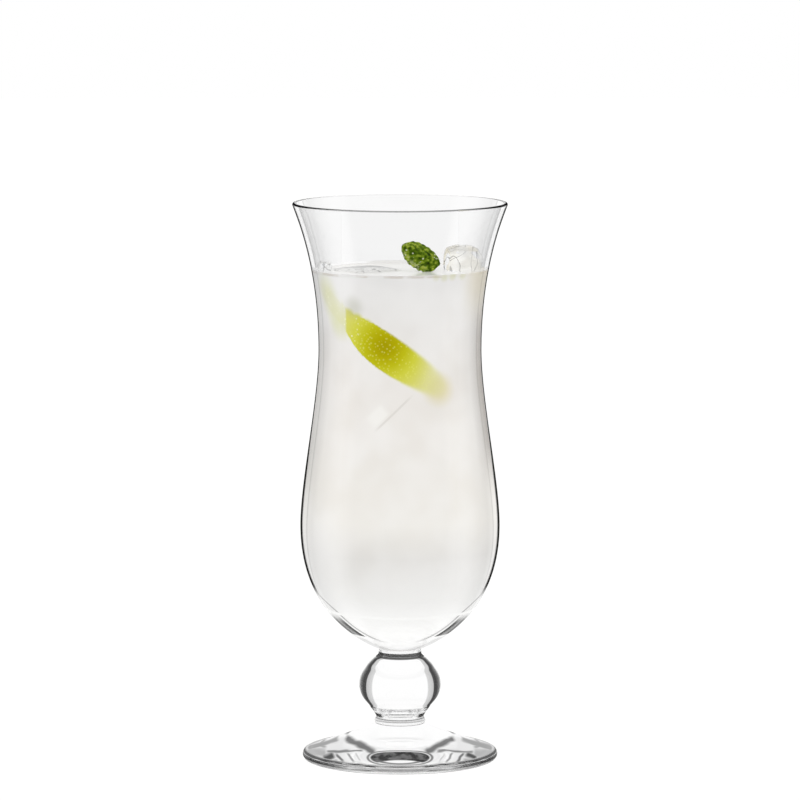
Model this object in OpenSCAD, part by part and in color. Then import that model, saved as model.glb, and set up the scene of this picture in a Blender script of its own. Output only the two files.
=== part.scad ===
// Footed hurricane glass with a ball knop, filled with an iced lime drink.
// Standing on z = 0 with its axis on Z, in millimetres; the front of the drink faces -Y.

/* [Bowl] */
// Diameter over the fire-polished rim
rim_d = 78.9; // [72:0.1:86]
// Diameter outside the waist, the narrowest place of the bowl
waist_d = 59.8; // [56:0.1:64]
// Diameter outside the belly, the widest place of the lower bowl
belly_d = 73.4; // [68:0.1:80]
// Height of the bowl, from the stem collar to the rim
bowl_h = 165; // [155:1:180]
// Height of the waist above the bottom of the bowl
waist_rise = 110.9; // [104:0.1:118]
// Height of the belly above the bottom of the bowl
belly_rise = 45.8; // [42:0.1:50]
// Thickness of the blown wall
wall = 1.5; // [1.2:0.1:2]
// Thickness of the glass under the drink
bottom_t = 3.5; // [2.5:0.1:5]

/* [Stem] */
// Diameter at the top of the collar, where the bowl sits on it
collar_d = 15.5; // [14:0.1:17]
// Height of the collar between bowl and knop
collar_h = 2.3; // [1.5:0.1:4]
// Diameter of the ball-shaped knop
knop_d = 30.1; // [26:0.1:34]
// Height of the knop
knop_h = 23.3; // [20:0.1:28]
// Diameter of the knop's top face, where the collar sits on it
knop_top_d = 16.2; // [15:0.1:18]
// Diameter of the knop's bottom face, where it sits on the ring
knop_foot_d = 17.4; // [16:0.1:19]
// Largest diameter of the beaded ring between knop and foot
ring_d = 18.6; // [17.6:0.1:20]
// Height of the ring
ring_h = 2.2; // [1.6:0.1:3]

/* [Foot] */
// Diameter of the foot
foot_d = 72; // [66:0.1:80]
// Height of the foot at its middle
foot_h = 13.2; // [11:0.1:16]
// Height of the foot's rounded edge
foot_edge_h = 3.5; // [3:0.1:5]
// How far the rounded edge reaches in from the foot's diameter
foot_edge_w = 1.6; // [1:0.1:2.5]
// Width of the flat ring that the glass stands on
rest_ring_w = 3; // [2:0.1:5]
// Depth of the ledge inside the resting ring
rest_ledge = 0.5; // [0.3:0.1:1]
// Rise of the shallow hollow under the foot, up to its recess
hollow_rise = 1.3; // [0.8:0.1:2]
// Diameter of the round recess under the middle of the foot
recess_d = 22; // [18:0.1:28]
// Depth of that recess, from the hollow up
recess_depth = 2.4; // [1:0.1:3]

/* [Drink] */
// How far the drink stays under the rim
headspace = 25; // [20:0.5:40]

/* [Ice] */
// Edge of a whole ice cube
ice_edge = 20; // [17:0.1:21]
// Edge of the smaller cube that floats at the right
small_ice_edge = 12; // [10:0.1:13.5]
// Edge of the chip of ice that floats at the left
chip_edge = 4.6; // [4:0.1:6]
// How far the big floating cube stands out of the drink
ice_proud = 0.8; // [0.5:0.1:2]
// How far the small cube stands out of the drink
small_ice_proud = 8.3; // [6:0.1:10]
// How far the chip stands out of the drink
chip_proud = 3.2; // [2:0.1:4]

/* [Lime peel] */
// Widest place of the peel
peel_w = 13.2; // [11:0.1:15]
// Thickness of the peel, green skin and white pith together
peel_t = 2.2; // [1.6:0.1:3]
// Radius that the peel is curled to, at its green outside
peel_curl_r = 22.8; // [21:0.1:24]
// Depth of the peel's upper end below the surface of the drink
peel_depth = 3.6; // [3:0.1:8]
// Fall of the peel from its upper end to its lower end
peel_fall = 39; // [34:0.1:44]

/* [Mint leaf] */
// Length of the leaf
leaf_l = 15.2; // [12:0.1:16]
// Width of the leaf
leaf_w = 9.4; // [8:0.1:11]
// Thickness of the leaf at its midrib
leaf_t = 0.9; // [0.7:0.1:1.5]

/* [Clearances] */
// Film between the glass and the drink
wet_gap = 0.05; // [0.03:0.01:0.1]
// Film of melt water between ice or peel and the drink
melt_gap = 0.15; // [0.1:0.05:0.3]
// Room round what can be lifted out
lift_gap = 0.3; // [0.2:0.05:0.5]

/* [Hidden] */
$fn = 96;

// Steps in one span of an outline, and in a small rounded edge
span_steps = 12;
edge_steps = 8;

// Clear glass, thin in the bowl and thick in the stem, and ice
thin_glass_colour = [0.86, 0.91, 0.93, 0.5];
thick_glass_colour = [0.80, 0.86, 0.89, 0.6];
ice_colour = [0.88, 0.93, 0.95, 0.7];

// Height of every piece's underside above the table
ring_z = foot_h;
knop_z = ring_z + ring_h;
collar_z = knop_z + knop_h;
bowl_z = collar_z + collar_h;

// Radii that several pieces share
rim_r = rim_d / 2;
waist_r = waist_d / 2;
belly_r = belly_d / 2;
foot_r = foot_d / 2;
knop_r = knop_d / 2;
knop_foot_r = knop_foot_d / 2;
ring_r = ring_d / 2;
// The foot and the ring meet on a face a little smaller than the bead
ring_seat_r = (ring_r + knop_foot_r) / 2;
waist_in_r = waist_r - wall;

// Overrun of everything that is cut away
over = wall;

// Pull of each outline handle, as a share of the height or width of its span
belly_down_share = 0.78;
belly_up_share = 0.25;
waist_down_share = 0.28;
waist_up_share = 0.58;
rim_in_share = 0.17;
rim_down_share = 0.09;
base_out_share = 0.045;
base_up_share = 0.02;
inner_down_share = 0.72;
inner_out_share = 0.62;

// A point of a cubic curve through p[0] and p[3], pulled towards p[1] and p[2]
function curve_point(p, t) =
    let (s = 1 - t) s * s * s * p[0] + 3 * s * s * t * p[1] + 3 * s * t * t * p[2] + t * t * t * p[3];

// The whole curve without its first point, so that spans can follow each other
function span(p, steps = span_steps) = [for (i = [1:steps]) curve_point(p, i / steps)];

// Outline of the bowl from belly to rim for a wall that lies "inset" inside the outer one
function bowl_side(inset) =
    let (belly = [belly_r - inset, belly_rise],
         waist = [waist_r - inset, waist_rise],
         rim = [rim_r - inset, bowl_h - wall / 2],
         lower = waist_rise - belly_rise,
         upper = rim[1] - waist_rise,
         flare = rim_r - waist_r)
    concat(
        span([belly, belly + [0, lower * belly_up_share], waist - [0, lower * waist_down_share], waist]),
        span([waist, waist + [0, upper * waist_up_share],
              rim - [flare * rim_in_share, upper * rim_down_share], rim]));

// Outline from the collar up to the belly, outside
function bowl_base() =
    let (seat = [collar_d / 2, 0], belly = [belly_r, belly_rise])
    span([seat, seat + [belly_r * base_out_share, belly_rise * base_up_share],
          belly - [0, belly_rise * belly_down_share], belly]);

// Inside of the bowl from the middle of its bottom up to the rim, drawn in by a further gap
function bowl_inside(gap) =
    let (middle = [0, bottom_t + gap], belly = [belly_r - wall - gap, belly_rise],
         rise = belly_rise - bottom_t)
    concat([middle],
        span([middle, middle + [belly[0] * inner_out_share, 0],
              belly - [0, rise * inner_down_share], belly]),
        bowl_side(wall + gap));

function reversed(list) = [for (i = [len(list) - 1:-1:0]) list[i]];

// Free radius inside the bowl at a height above the table
inside_table = [for (p = bowl_inside(0)) [p[1], p[0]]];
function inside_r(z) = lookup(z - bowl_z, inside_table);

module bowl() {
    lip_r = wall / 2;
    lip = [rim_r - lip_r, bowl_h - lip_r];
    color(thin_glass_colour)
    translate([0, 0, bowl_z])
    rotate_extrude()
    polygon(concat(
        [[0, 0], [collar_d / 2, 0]],
        bowl_base(),
        bowl_side(0),
        [for (i = [1:edge_steps - 1]) lip + lip_r * [cos(180 * i / edge_steps), sin(180 * i / edge_steps)]],
        reversed(bowl_inside(0))));
}

module stem_collar() {
    color(thick_glass_colour)
    translate([0, 0, collar_z])
    cylinder(h = collar_h, d1 = (collar_d + knop_top_d) / 2, d2 = collar_d);
}

// Knop: a short neck that opens to a soft edge, then a ball a little fuller below than above
module stem_knop() {
    edge_share = [0.724, 0.16];
    edge_pull_share = [0.70, 0.137];
    lower_pull_share = [0.777, 0.245];
    widest_share = 0.532;
    widest_down_share = 0.228;
    widest_up_share = 0.18;
    shoulder_share = [0.872, 0.803];
    function at_share(s) = [s[0] * knop_r, s[1] * knop_h];
    foot = [knop_foot_r, 0];
    edge = at_share(edge_share);
    widest = [knop_r, widest_share * knop_h];
    top = [knop_top_d / 2, knop_h];
    neck_pull = [0, edge[1] / 4];
    color(thick_glass_colour)
    translate([0, 0, knop_z])
    rotate_extrude()
    polygon(concat(
        [[0, 0], foot],
        span([foot, foot + neck_pull, at_share(edge_pull_share), edge], edge_steps),
        span([edge, at_share(lower_pull_share), widest - [0, widest_down_share * knop_h], widest]),
        span([widest, widest + [0, widest_up_share * knop_h], at_share(shoulder_share), top]),
        [[0, knop_h]]));
}

module stem_ring() {
    seat = [ring_seat_r, 0];
    top = [knop_foot_r, ring_h];
    // The pulls stand out past the bead so that the curve itself reaches its diameter
    bulge = ring_r + (ring_r - ring_seat_r) / 2;
    color(thick_glass_colour)
    translate([0, 0, ring_z])
    rotate_extrude()
    polygon(concat(
        [[0, 0], seat],
        span([seat, [bulge, ring_h / 4], [bulge, ring_h * 3 / 4], top], edge_steps),
        [[0, ring_h]]));
}

// Foot: a spreading cone with a rounded edge, hollowed below inside a flat resting ring
module foot() {
    low_pull_share = [0.264, 0.2];
    top_pull_share = [0.295, 0.41];
    edge_turns = [-90, 75];
    edge_mid = [foot_r - foot_edge_w, foot_edge_h / 2];
    function edge_at(a) = edge_mid + [foot_edge_w * cos(a), foot_edge_h / 2 * sin(a)];
    edge_top = edge_at(edge_turns[1]);
    seat = [ring_seat_r, foot_h];
    reach = edge_top[0] - seat[0];
    climb = seat[1] - edge_top[1];
    rest_in_r = edge_mid[0] - rest_ring_w;
    recess_r = recess_d / 2;
    color(thick_glass_colour)
    rotate_extrude()
    polygon(concat(
        [[0, hollow_rise + recess_depth], [recess_r, hollow_rise + recess_depth],
         [recess_r, hollow_rise], [rest_in_r, rest_ledge], [rest_in_r, 0]],
        [for (i = [0:edge_steps]) edge_at(edge_turns[0] + (edge_turns[1] - edge_turns[0]) * i / edge_steps)],
        span([edge_top,
              edge_top + [-reach * low_pull_share[0], climb * low_pull_share[1]],
              seat + [reach * top_pull_share[0], -climb * top_pull_share[1]],
              seat]),
        [[0, foot_h]]));
}

// Height of the drink's surface above the table
drink_z = bowl_z + bowl_h - headspace;

// The whole fill, before the ice and the peel take their room
module fill() {
    top = drink_z - bowl_z;
    wetted = bowl_inside(wet_gap);
    translate([0, 0, bowl_z])
    rotate_extrude()
    polygon(concat(
        [for (p = wetted) if (p[1] < top) p],
        [[inside_r(drink_z) - wet_gap, top], [0, top]]));
}

module drink() {
    color([0.93, 0.92, 0.89])
    difference() {
        fill();
        ice_at(left_place, ice_edge, lift_gap, drink_z - left_place[2]);
        ice_at(right_place, small_ice_edge, lift_gap, drink_z - right_place[2]);
        ice_at(chip_place, chip_edge, lift_gap, drink_z - chip_place[2]);
        ice_at(upper_place, ice_edge, melt_gap);
        ice_at(middle_place, ice_edge, melt_gap);
        ice_at(low_place, ice_edge, melt_gap);
        peel_band(melt_gap);
    }
}

// Ice: a cube whose corners have melted back to a ball of this share of its edge
melt_share = 0.74;
function ice_reach(edge) = melt_share * edge;
big_reach = ice_reach(ice_edge);

// One piece of ice. A place is its middle and the turn about each axis. A gap makes the hole
// that it lies in, and a shaft carries the hole straight up, so that the piece can be lifted out.
module ice_at(place, edge, gap = 0, shaft = 0) {
    side = edge + 2 * gap;
    reach = ice_reach(edge) + gap;
    translate([place[0], place[1], place[2]]) {
        rotate([place[3], place[4], place[5]])
        intersection() {
            cube(side, center = true);
            sphere(r = reach);
        }
        if (shaft > 0)
            rotate([0, 0, place[5]])
            intersection() {
                translate([-side / 2, -side / 2, 0]) cube([side, side, shaft + over]);
                cylinder(r = reach, h = shaft + over);
            }
    }
}

upper_turn = [24, 12, 40];
middle_turn = [8, 42, 14];
low_turn = [35, -18, 25];
// Bearings round the axis, from +X towards +Y
left_bearing = 172;
right_bearing = 5;
upper_bearing = 30;
low_bearing = 205;

function on_bearing(a, r) = [r * cos(a), r * sin(a)];

// What floats stands upright, so that its hole has straight sides. The big cube lies left of
// the middle with a corner towards the wall, and clears the wall at its lowest point.
left_low_z = drink_z + ice_proud - ice_edge;
left_place = concat(on_bearing(left_bearing, inside_r(left_low_z) - big_reach - 4 * lift_gap),
                    [left_low_z + ice_edge / 2, 0, 0, left_bearing + 45]);

// The small cube and the chip float with a face to the wall, and the face's corners clear it
function wall_side_r(edge, z) =
    let (free_r = inside_r(z) - lift_gap * 2)
    sqrt(pow(free_r, 2) - pow(edge / 2, 2)) - edge / 2;
right_low_z = drink_z + small_ice_proud - small_ice_edge;
right_place = concat(on_bearing(right_bearing, wall_side_r(small_ice_edge, right_low_z)),
                     [right_low_z + small_ice_edge / 2, 0, 0, right_bearing]);
// The chip lies beside the front face of the big cube, and its corners clear that face
chip_low_z = drink_z + chip_proud - chip_edge;
chip_r = wall_side_r(chip_edge, chip_low_z);
left_r = norm([left_place[0], left_place[1]]);
chip_face_r = left_r * cos(45) + ice_edge / 2 + chip_edge / 2 * sqrt(2) + 3 * lift_gap;
chip_bearing = left_bearing + 45 - acos(chip_face_r / chip_r);
chip_place = concat(on_bearing(chip_bearing, chip_r), [chip_low_z + chip_edge / 2, 0, 0, chip_bearing]);

// Sunk cubes hang one below the other, two reaches apart, so that each can be turned any way.
// The middle one is drawn off the axis by the thickness of the peel, the others further.
upper_at = on_bearing(upper_bearing, waist_in_r - big_reach - 4 * melt_gap);
middle_at = [-peel_t, -peel_t];
low_at = on_bearing(low_bearing, big_reach);
function hung_z(count) = left_place[2] - count * 2 * big_reach;
// In a low bowl they rest on its bottom instead, and on each other
function stacked_z(below, below_z, above) =
    below_z + sqrt(pow(2 * big_reach + melt_gap, 2) - pow(norm(above - below), 2));
bottom_z = bowl_z + max([for (p = bowl_inside(4 * melt_gap))
    if (p[1] < belly_rise && p[0] < 2 * big_reach)
        p[1] + sqrt(pow(big_reach, 2) - pow(p[0] - big_reach, 2))]);
low_z = max(hung_z(3), bottom_z);
middle_z = max(hung_z(2), stacked_z(low_at, low_z, middle_at));
upper_z = max(hung_z(1), stacked_z(middle_at, middle_z, upper_at));
upper_place = concat(upper_at, [upper_z], upper_turn);
middle_place = concat(middle_at, [middle_z], middle_turn);
low_place = concat(low_at, [low_z], low_turn);

module ice_cube_left() { color(ice_colour) ice_at(left_place, ice_edge); }
module ice_cube_right() { color(ice_colour) ice_at(right_place, small_ice_edge); }
module ice_chip() { color(ice_colour) ice_at(chip_place, chip_edge); }
module ice_cube_upper() { color(ice_colour) ice_at(upper_place, ice_edge); }
module ice_cube_middle() { color(ice_colour) ice_at(middle_place, ice_edge); }
module ice_cube_low() { color(ice_colour) ice_at(low_place, ice_edge); }

// A closed skin over a row of rings that all have the same number of points
module loft(rings) {
    n = len(rings[0]);
    last = len(rings) - 1;
    points = [for (ring = rings) for (p = ring) p];
    sides = [for (k = [0:last - 1]) for (i = [0:n - 1])
        let (a = k * n + i, b = k * n + (i + 1) % n)
        each [[a, b, b + n], [a, b + n, a + n]]];
    first_cap = [for (i = [1:n - 2]) [0, i + 1, i]];
    last_cap = [for (i = [1:n - 2]) [last * n, last * n + i, last * n + i + 1]];
    polyhedron(points, concat(sides, first_cap, last_cap));
}

// Lime peel: a band that winds down the front of the bowl, curled round an upright axis.
// Its middle line is given in turns round that axis, from the left (-) over the front (0).
peel_rings = 36;
peel_start_angle = -84;
peel_sweep_angle = 142;
peel_top_z = drink_z - peel_depth;
// The curl's axis stands off to the front left, until the green side nearly meets the glass
peel_bearing = 225;
peel_axis = on_bearing(peel_bearing, waist_in_r - peel_curl_r - 4 * melt_gap);
// Half width along the band, from its upper end to its lower end, as shares of the widest
peel_width_shares = [[0, 0.24], [0.05, 0.4], [0.16, 0.48], [0.27, 0.42], [0.35, 0.72], [0.43, 0.92],
                     [0.54, 1], [0.65, 0.98], [0.74, 0.93], [0.83, 0.86], [0.93, 0.74], [1, 0.4]];
// Height along the band: it sags a little below a straight fall
peel_sag_share = 0.045;
function peel_z(u) = peel_top_z - peel_fall * (u + peel_sag_share * sin(180 * u));
function peel_slope(u) =
    let (du = 1 / peel_rings, run = peel_curl_r * peel_sweep_angle * PI / 180)
    atan2(peel_z(u + du) - peel_z(u - du), 2 * du * run);
// A point of the peel: u along it, v across it, w in from its green side
function peel_point(u, v, w) =
    let (slope = peel_slope(u),
         turn = peel_start_angle + peel_sweep_angle * u - v * sin(slope) / peel_curl_r * 180 / PI,
         r = peel_curl_r - w)
    [peel_axis[0] + r * sin(turn), peel_axis[1] - r * cos(turn), peel_z(u) + v * cos(slope)];

module peel_band(gap = 0) {
    loft([for (i = [0:peel_rings])
        let (grow = i == 0 ? -1 : i == peel_rings ? 1 : 0,
             u = i / peel_rings + grow * gap / (peel_curl_r * 2),
             half = peel_w / 2 * lookup(i / peel_rings, peel_width_shares) + gap,
             thick = peel_t + gap,
             round_off = peel_t / 4)
        [peel_point(u, -half, thick / 2), peel_point(u, -half + round_off, -gap),
         peel_point(u, 0, -gap), peel_point(u, half - round_off, -gap),
         peel_point(u, half, thick / 2), peel_point(u, half - round_off, thick),
         peel_point(u, 0, thick), peel_point(u, -half + round_off, thick)]]);
}

module lime_peel() { color([0.71, 0.73, 0.20]) peel_band(); }

// Mint leaf: a toothed blade folded along its midrib, leaning back with one edge on the drink
leaf_rings = 28;
leaf_teeth = 7;
tooth_share = 0.06;
fold_share = 0.2;
bow_share = 0.09;
// Width along the blade: blunt at the stalk, widest before the middle, drawn to a tip
leaf_width_shares = [[0, 0.12], [0.05, 0.4], [0.15, 0.74], [0.3, 0.96], [0.45, 1], [0.62, 0.95],
                     [0.78, 0.82], [0.9, 0.6], [0.97, 0.36], [1, 0.12]];
leaf_tilt = 55;
leaf_droop = 27;
// A point of the leaf: u from its tip at the upper left to its stalk, v across it from -1 to 1
function leaf_flat(u, v, lift) =
    let (tooth = 1 + tooth_share * abs(sin(180 * leaf_teeth * u)),
         half = leaf_w / 2 * lookup(1 - u, leaf_width_shares) * tooth)
    [leaf_l * u, half * v,
     -half * fold_share * abs(v) * 2 + leaf_l * bow_share * sin(180 * u) + lift];
function leaf_leant(p) =
    let (y = p[1] * cos(leaf_tilt) - p[2] * sin(leaf_tilt),
         z = p[1] * sin(leaf_tilt) + p[2] * cos(leaf_tilt))
    [p[0] * cos(leaf_droop) + z * sin(leaf_droop), y, z * cos(leaf_droop) - p[0] * sin(leaf_droop)];
function leaf_ring(u) =
    let (t = leaf_t / 2, edge_t = leaf_t / 6)
    [for (q = [[-1, 0], [-0.5, t], [0, t], [0.5, t], [1, 0], [0.5, -t], [0, -t], [-0.5, -t]])
        leaf_leant(leaf_flat(u, q[0], q[1] == 0 ? edge_t : q[1]))];
leaf_all = [for (i = [0:leaf_rings]) leaf_ring(i / leaf_rings)];
// It stands in the gap between the two floating cubes
leaf_low_z = min([for (ring = leaf_all) for (p = ring) p[2]]);
leaf_offset_share = [0.1, -0.35];
leaf_place = [leaf_w * leaf_offset_share[0], leaf_w * leaf_offset_share[1],
              drink_z + lift_gap - leaf_low_z];

module mint_leaf() {
    color([0.27, 0.36, 0.09])
    translate(leaf_place)
    loft(leaf_all);
}

bowl();
stem_collar();
stem_knop();
stem_ring();
foot();
drink();
ice_cube_left();
ice_cube_right();
ice_chip();
ice_cube_upper();
ice_cube_middle();
ice_cube_low();
lime_peel();
mint_leaf();
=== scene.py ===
# %% [markdown]
# A filled hurricane glass on a pale floor.
# The imported model gives every piece its place and size, in metres. The glass has five fused
# stretches, turned as on a lathe, and the drink, its ice, its lime peel and its mint leaf lie
# inside. This first cell loads that frame and keeps its box.

# %% Load the frame
import bpy
import math
import numpy as np
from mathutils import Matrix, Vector
from mathutils.bvhtree import BVHTree


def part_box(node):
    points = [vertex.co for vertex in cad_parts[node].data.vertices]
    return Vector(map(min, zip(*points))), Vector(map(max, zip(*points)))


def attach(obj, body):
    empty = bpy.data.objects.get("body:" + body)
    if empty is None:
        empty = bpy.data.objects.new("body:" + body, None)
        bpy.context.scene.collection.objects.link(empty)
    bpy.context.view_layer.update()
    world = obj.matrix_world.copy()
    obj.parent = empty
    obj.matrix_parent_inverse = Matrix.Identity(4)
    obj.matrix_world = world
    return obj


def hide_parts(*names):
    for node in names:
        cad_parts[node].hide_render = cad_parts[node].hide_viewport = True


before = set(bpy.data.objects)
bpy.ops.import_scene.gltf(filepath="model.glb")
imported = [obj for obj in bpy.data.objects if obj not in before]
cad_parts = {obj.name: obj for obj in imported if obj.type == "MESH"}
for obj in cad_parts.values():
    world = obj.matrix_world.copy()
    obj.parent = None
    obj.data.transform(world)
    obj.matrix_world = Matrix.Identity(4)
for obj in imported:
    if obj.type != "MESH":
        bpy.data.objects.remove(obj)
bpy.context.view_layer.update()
MM = 0.001

# %% [markdown]
# The camera stands about two metres away and a little above the rim, as for a catalogue picture.
# A long lens keeps the walls of the glass from leaning. It is set up first, because every later
# size is judged in its picture.

# %% Camera
CAMERA_BACK = 1.960
CAMERA_UP = 0.363
CAMERA_TILT_DOWN = 6.6867
LENS = 241.7
SENSOR = 36

camera_data = bpy.data.cameras.new("camera")
camera_data.lens = LENS
camera_data.sensor_width = SENSOR
camera = bpy.data.objects.new("camera", camera_data)
camera.location = (0, -CAMERA_BACK, CAMERA_UP)
camera.rotation_euler = (math.radians(90 - CAMERA_TILT_DOWN), 0, 0)
bpy.context.scene.collection.objects.link(camera)
bpy.context.scene.camera = camera
print("camera", CAMERA_BACK, "m back, lens", LENS, "mm")

# %% [markdown]
# Colours are picked as sRGB hex values, the way they are read off a picture, and shaders want
# them linear. One function does that turn. Another adds a node with its settings and its links,
# so that a material can be written as nested calls, from the inside out.

# %% Colour and node helpers
def colour(hex_value):
    parts = [int(hex_value[i:i + 2], 16) / 255 for i in (1, 3, 5)]
    linear = [c / 12.92 if c <= 0.04045 else ((c + 0.055) / 1.055) ** 2.4 for c in parts]
    return (*linear, 1.0)


def set_input(tree, socket, value):
    """Links another node's socket to an input, or writes a plain value into it."""
    if isinstance(value, bpy.types.NodeSocket):
        tree.links.new(value, socket)
    else:
        socket.default_value = value


def add(tree, kind, settings=None, inputs=None):
    """One node: settings are its own properties, inputs are values or the sockets of others."""
    node = tree.nodes.new(kind)
    for name, value in (settings or {}).items():
        setattr(node, name, value)
    for name, value in (inputs or {}).items():
        set_input(tree, node.inputs[name], value)
    return node


def new_material(name):
    material = bpy.data.materials.new(name)
    material.use_nodes = True
    tree = material.node_tree
    tree.nodes.clear()
    return material, tree, tree.nodes.new("ShaderNodeOutputMaterial")


# %% Mixing colours
# Places of the factor, the two colours and the result among the sockets of a colour Mix node
MIX_FACTOR, MIX_FIRST, MIX_SECOND, MIX_RESULT = 0, 6, 7, 2


def ramp(tree, factor, stops):
    """A colour ramp with (place, grey or colour) stops."""
    node = add(tree, "ShaderNodeValToRGB", None, {"Fac": factor})
    elements = node.color_ramp.elements
    while len(elements) < len(stops):
        elements.new(0.5)
    for element, (place, value) in zip(elements, stops):
        element.position = place
        element.color = value if hasattr(value, "__len__") else (value, value, value, 1)
    return node.outputs["Color"]


def blend(tree, factor, first, second):
    """The second colour over the first, by a factor."""
    return add(tree, "ShaderNodeMix", {"data_type": "RGBA"}, {
        MIX_FACTOR: factor, MIX_FIRST: first, MIX_SECOND: second}).outputs[MIX_RESULT]


print("the middle grey #808080 is", round(colour("#808080")[0], 3), "in linear light")

# %% [markdown]
# Glass is judged by its edges. In a bright studio the middle of a clear piece shows the white
# behind it, and only where the surface turns away does it bend the eye towards dark corners.
# Layer Weight gives that turn at every point. Given the direction out from the axis as its
# normal, it measures the turn round the axis alone, which keeps the dark sides upright.
# All marks are built from these turns and from the height, so the same few helpers serve them all.

# %% Maths helpers
def math_node(tree, operation, *values):
    return add(tree, "ShaderNodeMath", {"operation": operation}, dict(enumerate(values))).outputs[0]


def vector_node(tree, operation, *values):
    node = add(tree, "ShaderNodeVectorMath", {"operation": operation}, dict(enumerate(values)))
    return node.outputs["Value" if operation in ("LENGTH", "DISTANCE", "DOT_PRODUCT") else "Vector"]


def times(tree, first, *others):
    """The product of some values."""
    for value in others:
        first = math_node(tree, "MULTIPLY", first, value)
    return first


def largest(tree, first, *others):
    for value in others:
        first = math_node(tree, "MAXIMUM", first, value)
    return first


def rest_of(tree, share):
    """What a share leaves of one."""
    return math_node(tree, "SUBTRACT", 1.0, share)


def away_from(tree, value, middle):
    """How far a value lies from a middle, on either side."""
    return math_node(tree, "ABSOLUTE", math_node(tree, "SUBTRACT", value, middle))


def step_between(tree, value, low, high, out_low=0.0, out_high=1.0):
    """A smooth step of value from low to high."""
    return add(tree, "ShaderNodeMapRange", {"interpolation_type": "SMOOTHSTEP"}, {
        "Value": value, "From Min": low, "From Max": high,
        "To Min": out_low, "To Max": out_high}).outputs[0]


def step_mm(tree, value, low, high, out_low=0.0, out_high=1.0):
    """A smooth step whose ends are given in millimetres."""
    return step_between(tree, value, low * MM, high * MM, out_low, out_high)


def band(tree, value, start, full, fade, end):
    """1 from full to fade, and 0 before start and after end."""
    return times(tree, step_between(tree, value, start, full), step_between(tree, value, end, fade))


def band_mm(tree, value, start, full, fade, end):
    return band(tree, value, start * MM, full * MM, fade * MM, end * MM)


# %% Places and turns
def part_of(tree, vector, axis):
    return add(tree, "ShaderNodeSeparateXYZ", None, {0: vector}).outputs[axis]


def object_place(tree):
    """The place in metres, and its height."""
    place = add(tree, "ShaderNodeTexCoord").outputs["Object"]
    return place, part_of(tree, place, "Z")


def noise(tree, grain, detail=2.0):
    """Noise whose grain is given in metres."""
    return add(tree, "ShaderNodeTexNoise", None, {
        "Vector": object_place(tree)[0], "Scale": 1 / grain, "Detail": detail}).outputs[0]


def cells(tree, size):
    """Distance from the middle of the nearest of many cells, whose size is given in metres."""
    return add(tree, "ShaderNodeTexVoronoi", None, {
        "Vector": object_place(tree)[0], "Scale": 1 / size}).outputs["Distance"]


def true_normal(tree):
    return add(tree, "ShaderNodeNewGeometry").outputs["True Normal"]


def outward(tree):
    """The level direction out from the axis."""
    return vector_node(tree, "NORMALIZE", vector_node(tree, "MULTIPLY", object_place(tree)[0], (1, 1, 0)))


def turn_away(tree):
    """0 where the surface faces the eye, 1 where it has turned away in any direction."""
    return add(tree, "ShaderNodeLayerWeight", None, {"Blend": 0.5}).outputs["Facing"]


def turn_round_axis(tree):
    """0 where the wall faces the eye, 1 where it has turned away sideways."""
    return add(tree, "ShaderNodeLayerWeight", None,
               {"Blend": 0.5, "Normal": outward(tree)}).outputs["Facing"]


def seen_place(tree, place):
    """A point's radius, and how far aside of the axis and ahead of it the eye sees it."""
    radius = vector_node(tree, "LENGTH", vector_node(tree, "MULTIPLY", place, (1, 1, 0)))
    facing = rest_of(tree, turn_round_axis(tree))
    sideways = math_node(tree, "SQRT", rest_of(tree, times(tree, facing, facing)))
    return radius, times(tree, radius, sideways), times(tree, radius, facing)


# %% [markdown]
# Real glass gets its dark edges from the dark corners of the room. This light has none, so each
# glass here is a clear Principled shader with a share of black or grey laid over it where a piece
# turns away. That share counts for camera rays alone, so it can't darken what is seen through it.
# Shadow and diffuse rays pass straight through, which lets the light reach the drink.

# %% Glass shader
GLASS_IOR = 1.52
GLASS_SPECULAR = 0.09
EDGE_BLACK = colour("#0E0E0F")
WHITE = colour("#FFFFFF")


def over(tree, share, under, upper):
    """A share of one shader over another."""
    return add(tree, "ShaderNodeMixShader", None, {"Fac": share, 1: under, 2: upper}).outputs[0]


def glass_shader(tree, output, tint, darkness, ior=GLASS_IOR, veil=None, dark_colour=EDGE_BLACK,
                 through_glass=False, see_through=None):
    """Clear glass with a tint for what passes, a white veil of painted reflection, and a share of painted
    dark over it.
    """
    body = add(tree, "ShaderNodeBsdfPrincipled", None, {
        "Base Color": tint, "Roughness": 0.0, "IOR": ior, "Transmission Weight": 1.0,
        "Specular IOR Level": GLASS_SPECULAR}).outputs[0]
    path = add(tree, "ShaderNodeLightPath")
    seen = 1.0 if through_glass else path.outputs["Is Camera Ray"]
    if see_through is not None:
        tint_of_one_skin = math_node(tree, "POWER", tint, 0.5)
        straight = add(tree, "ShaderNodeBsdfTransparent", None, {"Color": tint_of_one_skin})
        body = over(tree, times(tree, see_through, seen), body, straight.outputs[0])
    if veil is not None:
        painted_white_reflection = add(tree, "ShaderNodeEmission", None, {"Color": WHITE, "Strength": 1.0})
        body = over(tree, times(tree, veil, seen), body, painted_white_reflection.outputs[0])
    dark = add(tree, "ShaderNodeBsdfDiffuse", None, {"Color": dark_colour})
    body = over(tree, times(tree, darkness, seen), body, dark.outputs[0])
    soft_ray = largest(tree, path.outputs["Is Shadow Ray"], path.outputs["Is Diffuse Ray"])
    clear = add(tree, "ShaderNodeBsdfTransparent", None, {"Color": WHITE})
    tree.links.new(over(tree, soft_ray, body, clear.outputs[0]), output.inputs["Surface"])


print("refractive index of the glass:", GLASS_IOR)

# %% [markdown]
# The bowl is blown thin and its rim is melted smooth in a flame. Its silhouette is a black line
# round the belly and a thin one at the waist, and the front of the lip is a line too. They could
# be left to the ray tracer and black cards beside the glass, but lines drawn by turn and height
# stay where the picture has them. A ramp of (turn, share) stops gives each its profile.

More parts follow.
